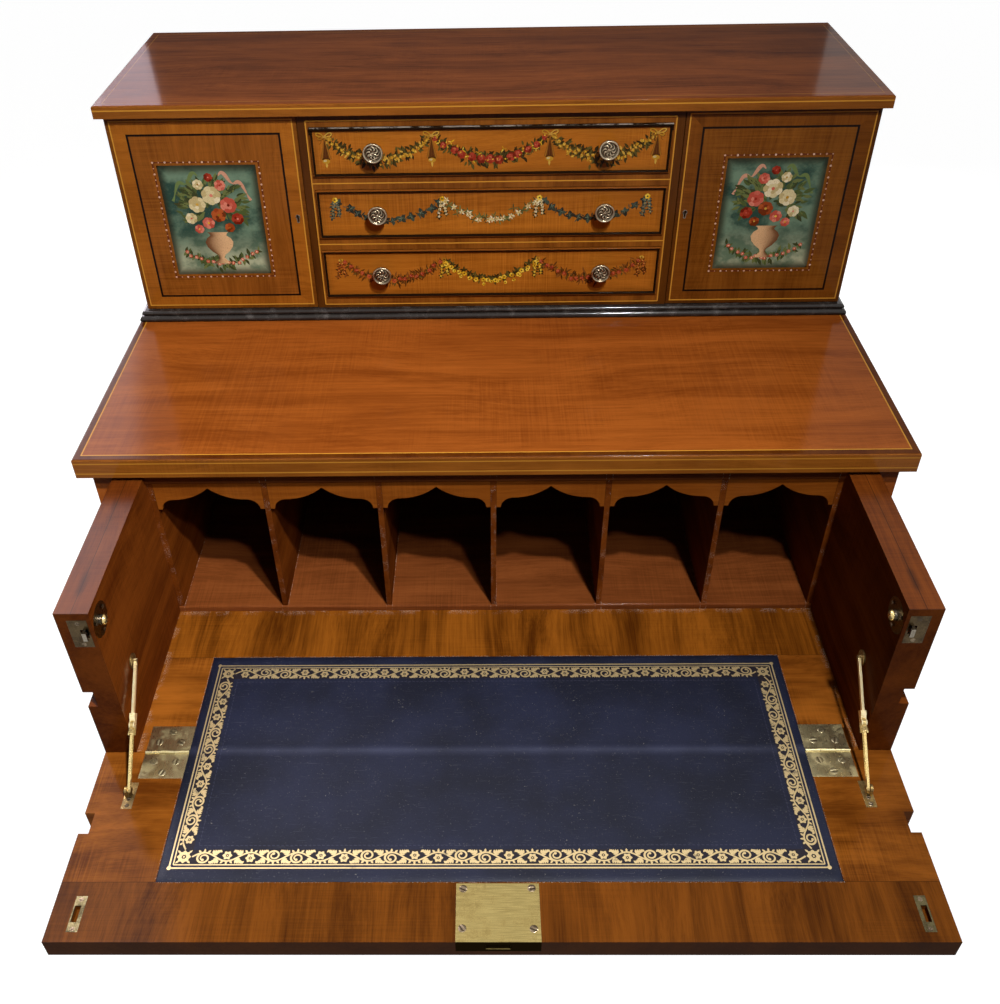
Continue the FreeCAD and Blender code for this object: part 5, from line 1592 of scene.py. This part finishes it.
# Painted panels in the doors: a footed vase of flowers among clouds and ribbons, inside a row of pearls
def groundPanel(plane):
    # a flat panel whose last half millimetre falls to the door; the grid lines gather towards the edges
    u, v = (half * np.sign(one) * np.abs(one) ** 0.6 for half, one in zip(
        pictureSettings["half"], crossed(np.linspace(-1, 1, 25), np.linspace(-1, 1, 29))))
    edge = np.minimum(pictureSettings["half"][0] - np.abs(u), pictureSettings["half"][1] - np.abs(v))
    return onPlane(plane, u, v, 0.12 * mm * np.clip(edge / (0.6 * mm), 0, 1)), quadGrid(*u.shape)


vaseSettings = {"height": [0, 1.5, 3, 6, 9, 13, 18, 23, 27, 30, 32, 33.5], "dark": (92, 50, 28),
                "rise": (0.20, 0.12), "shade": (0.75, 0.55, 0.35, 0.05), "light": (226, 182, 134),
                "half": [8.5, 8.5, 5.2, 2.6, 3.4, 8.5, 12.5, 13.8, 11.8, 7.8, 8.6, 10.6]}


def vase(plane, side):
    # half width along the height: foot, stem, belly, neck and lip; the columns shade from light to dark
    s = vaseSettings
    scale = pictureSettings["scale"] * mm
    v, t = crossed(np.array(s["height"]) * scale + pictureSettings["foot"], np.linspace(-1, 1, 9))
    u = np.array(s["half"])[:, None] * scale * t
    h = (s["rise"][0] + s["rise"][1] * np.sqrt(np.clip(1 - t * t, 0, 1))) * mm
    bright, lean, fall, least = s["shade"]
    light = np.clip(bright - lean * side * t - fall * t * t, least, 1)[..., None]
    colours = np.array(tone(*s["dark"])) * (1 - light) + np.array(tone(*s["light"])) * light
    return onPlane(plane, u, v, h), quadGrid(*u.shape)[:, ::-1], colours.reshape(-1, 4)


pearlSettings = {"widths": (2.4 * mm, 1.5 * mm), "ribbon": (96, 42, 22),
                 "tones": ((208, 164, 134), (186, 136, 108), (220, 184, 156))}


def pearlRow(plane):
    # pearls at even steps round a rectangle, a small one after each large one, over a dark red ribbon
    s = pictureSettings
    far = np.array(s["pearls"])
    along, upward = np.linspace(-1, 1, s["counts"][0]), np.linspace(-1, 1, s["counts"][1])[1:-1]
    rows = [np.stack([along, np.full(len(along), sign)], 1) for sign in (-1.0, 1.0)]
    columns = [np.stack([np.full(len(upward), sign), upward], 1) for sign in (-1.0, 1.0)]
    places = np.concatenate(rows + columns) * far
    corners = far * np.array([[-1, -1], [1, -1], [1, 1], [-1, 1]])
    order = np.arange(len(places))
    wide = np.where(order % 2 == 0, *pearlSettings["widths"])
    shine = np.array([tone(*one) for one in pearlSettings["tones"]])[order % 3]
    swell = (1.3 + 0.7 * np.sin(52 * np.linspace(0, 1, 40)))[None] * mm
    edges = between(corners, np.roll(corners, -1, axis=0), 40)
    return [ribbon(edges, swell, plane, 0.06 * mm, 0.03 * mm, tone(*pearlSettings["ribbon"])),
            stamp(discShape, plane, lifted(places, 0.12 * mm), 0.0, dabSizes(wide, 1.0, 0.06 * mm), shine)]


bunchSettings = {
    "garland": (-0.046, 0.046, -0.036, 0.019), "leaves": 150, "spread": 30 * mm,
    "ribbons": ((206, 150, 122), (104, 126, 74)),
    "places": [(0, 24), (-15, 14), (15, 15), (-4, 4), (7, -4), (-22, 0), (23, 1), (-10, 34), (11, 35),
               (-13, -9), (17, -10), (0, 42)],
    "widths": [16.5, 14.0, 14.5, 12.5, 10.5, 10.5, 10.0, 9.5, 9.0, 8.5, 8.0, 7.5],
    "kinds": [("cream", "pink"), ("pink", "rose"), ("cream", "gold"), ("russet", "gold"), ("pink", "yellow"),
              ("rose", "pink")]}


def paintPicture(name, side):
    # leaves spring from the middle of the bunch, blooms of two rings lie over them, a ribbon waves on each
    # side above, and a garland hangs below the vase
    s = bunchSettings
    middle, scale = pictureSettings["middle"], pictureSettings["scale"]
    plane = frontPlane(frontFace, side * middle[0], middle[1])
    random = np.random.default_rng(21 if side > 0 else 22)
    buildPiece(name + "_picture_ground", [groundPanel(plane)], "ground", name + "_door_leaf")
    parts = pearlRow(plane)
    run = np.linspace(0, 1, 40)
    for hand, colour in zip((-1, 1), s["ribbons"]):
        wave = np.stack([side * hand * (12 + 34 * run), 56 - 26 * run ** 2 + 4.2 * np.sin(11 * run)], 1) * mm
        swell = (1.2 + 3.4 * np.abs(np.sin(7 * run))) * mm
        parts.append(ribbon(wave, swell, plane, 0.16 * mm, 0.04 * mm, tone(*colour)))
    parts.append(leaves(plane, swagLine(*s["garland"], 26), 3, 1.8 * mm, 8.5 * mm, "fern", 0.18 * mm))
    blossom = scatter(swagLine(*s["garland"], 15), 1.6 * mm)
    parts += flowers(plane, blossom, 4.0 * mm, "pink", "cream", 5, 0.24 * mm)
    parts.append(vase(plane, side))
    count = s["leaves"]
    angle = random.uniform(-0.45, math.pi + 0.45, count)
    far = s["spread"] * scale * np.sqrt(random.random(count))
    leafAt = np.stack([1.05 * far * np.cos(angle), 14 * mm + 0.95 * far * np.sin(angle)], 1)
    long = random.uniform(8 * mm, 15 * mm, count)
    turn = angle + random.normal(0, 0.5, count)
    parts.append(stamp(leafShape, plane, lifted(leafAt, 0.30 * mm), turn, dabSizes(long, 0.36),
                       pick("fern", count)))
    for number, ((u, v), wide) in enumerate(zip(s["places"], s["widths"])):
        petal, eye = s["kinds"][number % len(s["kinds"])]
        place = np.array([[u * scale * side, v * scale + 3]]) * mm
        for share, petals, lift in ((1.0, 7, 0.36), (0.55, 5, 0.46)):
            parts += flowers(plane, place, share * wide * scale * mm, petal, eye, petals,
                             (lift + 0.01 * number) * mm)
    buildPiece(name + "_picture_paint", parts, "paint", name + "_door_leaf")


for name, side in sides:
    paintPicture(name, side)
print("panels painted")

# Steel linings of the door keyholes
keyholeSettings = {"middle": (0.2288, 1.0920), "radius": 2.2 * mm, "half": 1.1 * mm, "drop": 7.0 * mm,
                   "section": [(-0.05, -3.0), (-0.05, 0.15), (0.25, 0.25), (0.6, 0.175), (0.6, -0.1)]}


def keyholeRing(side):
    # the outline of a circle and a straight slot below it, carried through a small ring section
    s = keyholeSettings
    half = s["half"]
    start = math.asin(half / s["radius"])
    arc = np.linspace(-math.pi / 2 + start, 1.5 * math.pi - start, 41)
    low = np.linspace(math.pi, 2 * math.pi, 13)
    outline = np.concatenate([s["radius"] * ringOf(arc), half * ringOf(low) + [0, half - s["drop"]]])
    run = np.roll(outline, -1, axis=0) - np.roll(outline, 1, axis=0)
    run /= np.linalg.norm(run, axis=1, keepdims=True)
    out = np.stack([run[:, 1], -run[:, 0]], 1)
    wide, high = np.array(s["section"]).T * mm
    flat = outline[:, None, :] + out[:, None, :] * wide[None, :, None]
    plane = frontPlane(frontFace, side * s["middle"][0], s["middle"][1])
    return onPlane(plane, flat[..., 0], flat[..., 1], high), quadGrid(len(outline), len(wide), wrapRows=True)


for name, side in sides:
    buildPiece(name + "_keyhole_lining", [keyholeRing(side)], "steel", name + "_door_leaf")
print("keyholes lined")

# Floor, light and camera
stageSettings = {"floorHalf": 7.0, "floorTones": ((0.34, 0.34, 0.335, 1.0), (0.30, 0.30, 0.295, 1.0)),
                 "grit": 40, "floorGlow": 0.95, "fill": 0.07}


def seenDirectly(tree):
    # one for camera, glossy and transmission rays
    rays = addNode(tree, "ShaderNodeLightPath", None, None)
    return rays["Is Camera Ray"] | rays["Is Glossy Ray"] | rays["Is Transmission Ray"]


def makeStage():
    # a square floor that glows where it is seen, and a white world that lights by its fill alone
    s = stageSettings
    mesh = bpy.data.meshes.new("floor")
    corners = s["floorHalf"] * np.array([(-1, -1, 0), (1, -1, 0), (1, 1, 0), (-1, 1, 0)])
    mesh.from_pydata(corners.tolist(), [], [(0, 1, 2, 3)])
    floor = addObject("floor", mesh)
    fixed = {"Roughness": 0.9, "Specular IOR Level": 0.1, "Emission Color": (1, 1, 1, 1)}
    material, shader, place, axes = newMaterial("paleFloor", fixed)
    wire(shader, {"Base Color": mixTone(noise(place, s["grit"], 3.0), *s["floorTones"]),
                  "Emission Strength": seenDirectly(place.tree) * s["floorGlow"]})
    mesh.materials.append(material)
    world = bpy.data.worlds.new("studio")
    world.use_nodes = True
    back = world.node_tree.nodes["Background"].inputs
    back["Color"].default_value = (1, 1, 1, 1)
    wire(back, {"Strength": seenDirectly(world.node_tree) * (1 - s["fill"]) + s["fill"]})
    bpy.context.scene.world = world


lampSettings = {
    "keyLamp": {"at": (0.40, -0.90, 2.55), "aim": (-0.45, -0.20, 0.80), "size": (0.06, 0.06), "power": 9.2,
                "spread": 84.0},
    "secondLamp": {"at": (0.46, -1.32, 2.65), "aim": (-0.45, -0.20, 0.80), "size": (0.09, 0.09),
                   "power": 3.6, "spread": 84.0},
    "sheenPanel": {"at": (-1.976, 1.526, 2.859), "aim": (-0.35, -0.10, 0.93), "size": (1.54, 3.46),
                   "power": 120.0, "roll": 28.5, "unseen": "visible_diffuse", "tint": (0.96, 0.90, 1.0)},
    "upperPanel": {"at": (-1.965, 2.927, 2.055), "aim": (-0.42, 0.25, 1.227), "size": (1.48, 0.73),
                   "power": 58.0, "unseen": "visible_diffuse", "tint": (0.96, 0.86, 1.0)},
    "leftSoft": {"at": (-2.60, 1.00, 0.60), "aim": (-0.433, 0.20, 0.65), "size": (1.2, 0.9), "power": 34.0,
                 "unseen": "visible_glossy"},
    "rightSoft": {"at": (2.60, 1.00, 0.60), "aim": (0.433, 0.20, 0.65), "size": (1.2, 0.9), "power": 34.0,
                  "unseen": "visible_glossy"},
    "backSoft": {"at": (0.0, 3.10, 0.62), "aim": (0.0, 0.486, 0.75), "size": (1.8, 1.0), "power": 50.0,
                 "unseen": "visible_glossy"},
    "rightPanel": {"at": (1.55, 2.85, 1.95), "aim": (0.40, 0.30, 1.227), "size": (0.7, 0.6), "power": 5.0,
                   "unseen": "visible_diffuse"},
}


def posed(right, up, back, at, roll):
    # a matrix whose columns are right and up, both rolled about the line of sight, back, and the place
    turn = math.radians(roll)
    turned = np.eye(4)
    turned[:3] = np.stack([math.cos(turn) * right + math.sin(turn) * up,
                           math.cos(turn) * up - math.sin(turn) * right, back, at], 1)
    return Matrix(turned.tolist())


def makeLamps():
    # each panel looks from its place at its aim; one way in which it is unseen may be named
    for name, s in lampSettings.items():
        data = bpy.data.lights.new(name, "AREA")
        data.shape = "RECTANGLE"
        data.size, data.size_y = s["size"]
        data.energy = s["power"]
        data.color = s.get("tint", (1.0, 1.0, 1.0))
        data.spread = math.radians(s.get("spread", 180.0))
        lamp = addObject(name, data)
        lamp.visible_camera = False
        if "unseen" in s:
            setattr(lamp, s["unseen"], False)
        at = np.array(s["at"])
        back = (at - s["aim"]) / math.dist(s["at"], s["aim"])
        side = np.cross(zAxis, back)
        side /= np.linalg.norm(side)
        lamp.matrix_world = posed(side, np.cross(back, side), back, at, -s.get("roll", 0.0))


cameraSettings = {"at": (-0.00811, -0.94757, 1.61223), "pitch": 39.409, "yaw": -1.295, "roll": -1.245,
                  "focal": 1036.45, "middle": (467.96, 497.54), "image": (1000, 1004), "sensor": 36.0,
                  "near": 0.02}


def makeCamera():
    # pitch is down from level, yaw turns about the upright and roll about the line of sight
    s = cameraSettings
    pitch, yaw = math.radians(s["pitch"]), math.radians(s["yaw"])
    ahead = np.array([math.sin(yaw), math.cos(yaw), 0])
    right = np.array([math.cos(yaw), -math.sin(yaw), 0])
    back = math.sin(pitch) * zAxis - math.cos(pitch) * ahead
    up = math.sin(pitch) * ahead + math.cos(pitch) * zAxis
    wide, high = s["image"]
    data = bpy.data.cameras.new("camera")
    data.sensor_width = s["sensor"]
    data.lens = s["sensor"] * s["focal"] / max(wide, high)
    data.shift_x = (wide / 2 - s["middle"][0]) / max(wide, high)
    data.shift_y = (s["middle"][1] - high / 2) / max(wide, high)
    data.clip_start = s["near"]
    camera = addObject("camera", data)
    camera.matrix_world = posed(right, up, back, np.array(s["at"]), s["roll"])
    bpy.context.scene.camera = camera


makeStage()
makeLamps()
makeCamera()
bpy.context.scene.view_settings.view_transform = "Standard"
print("stage, lamps and camera set")
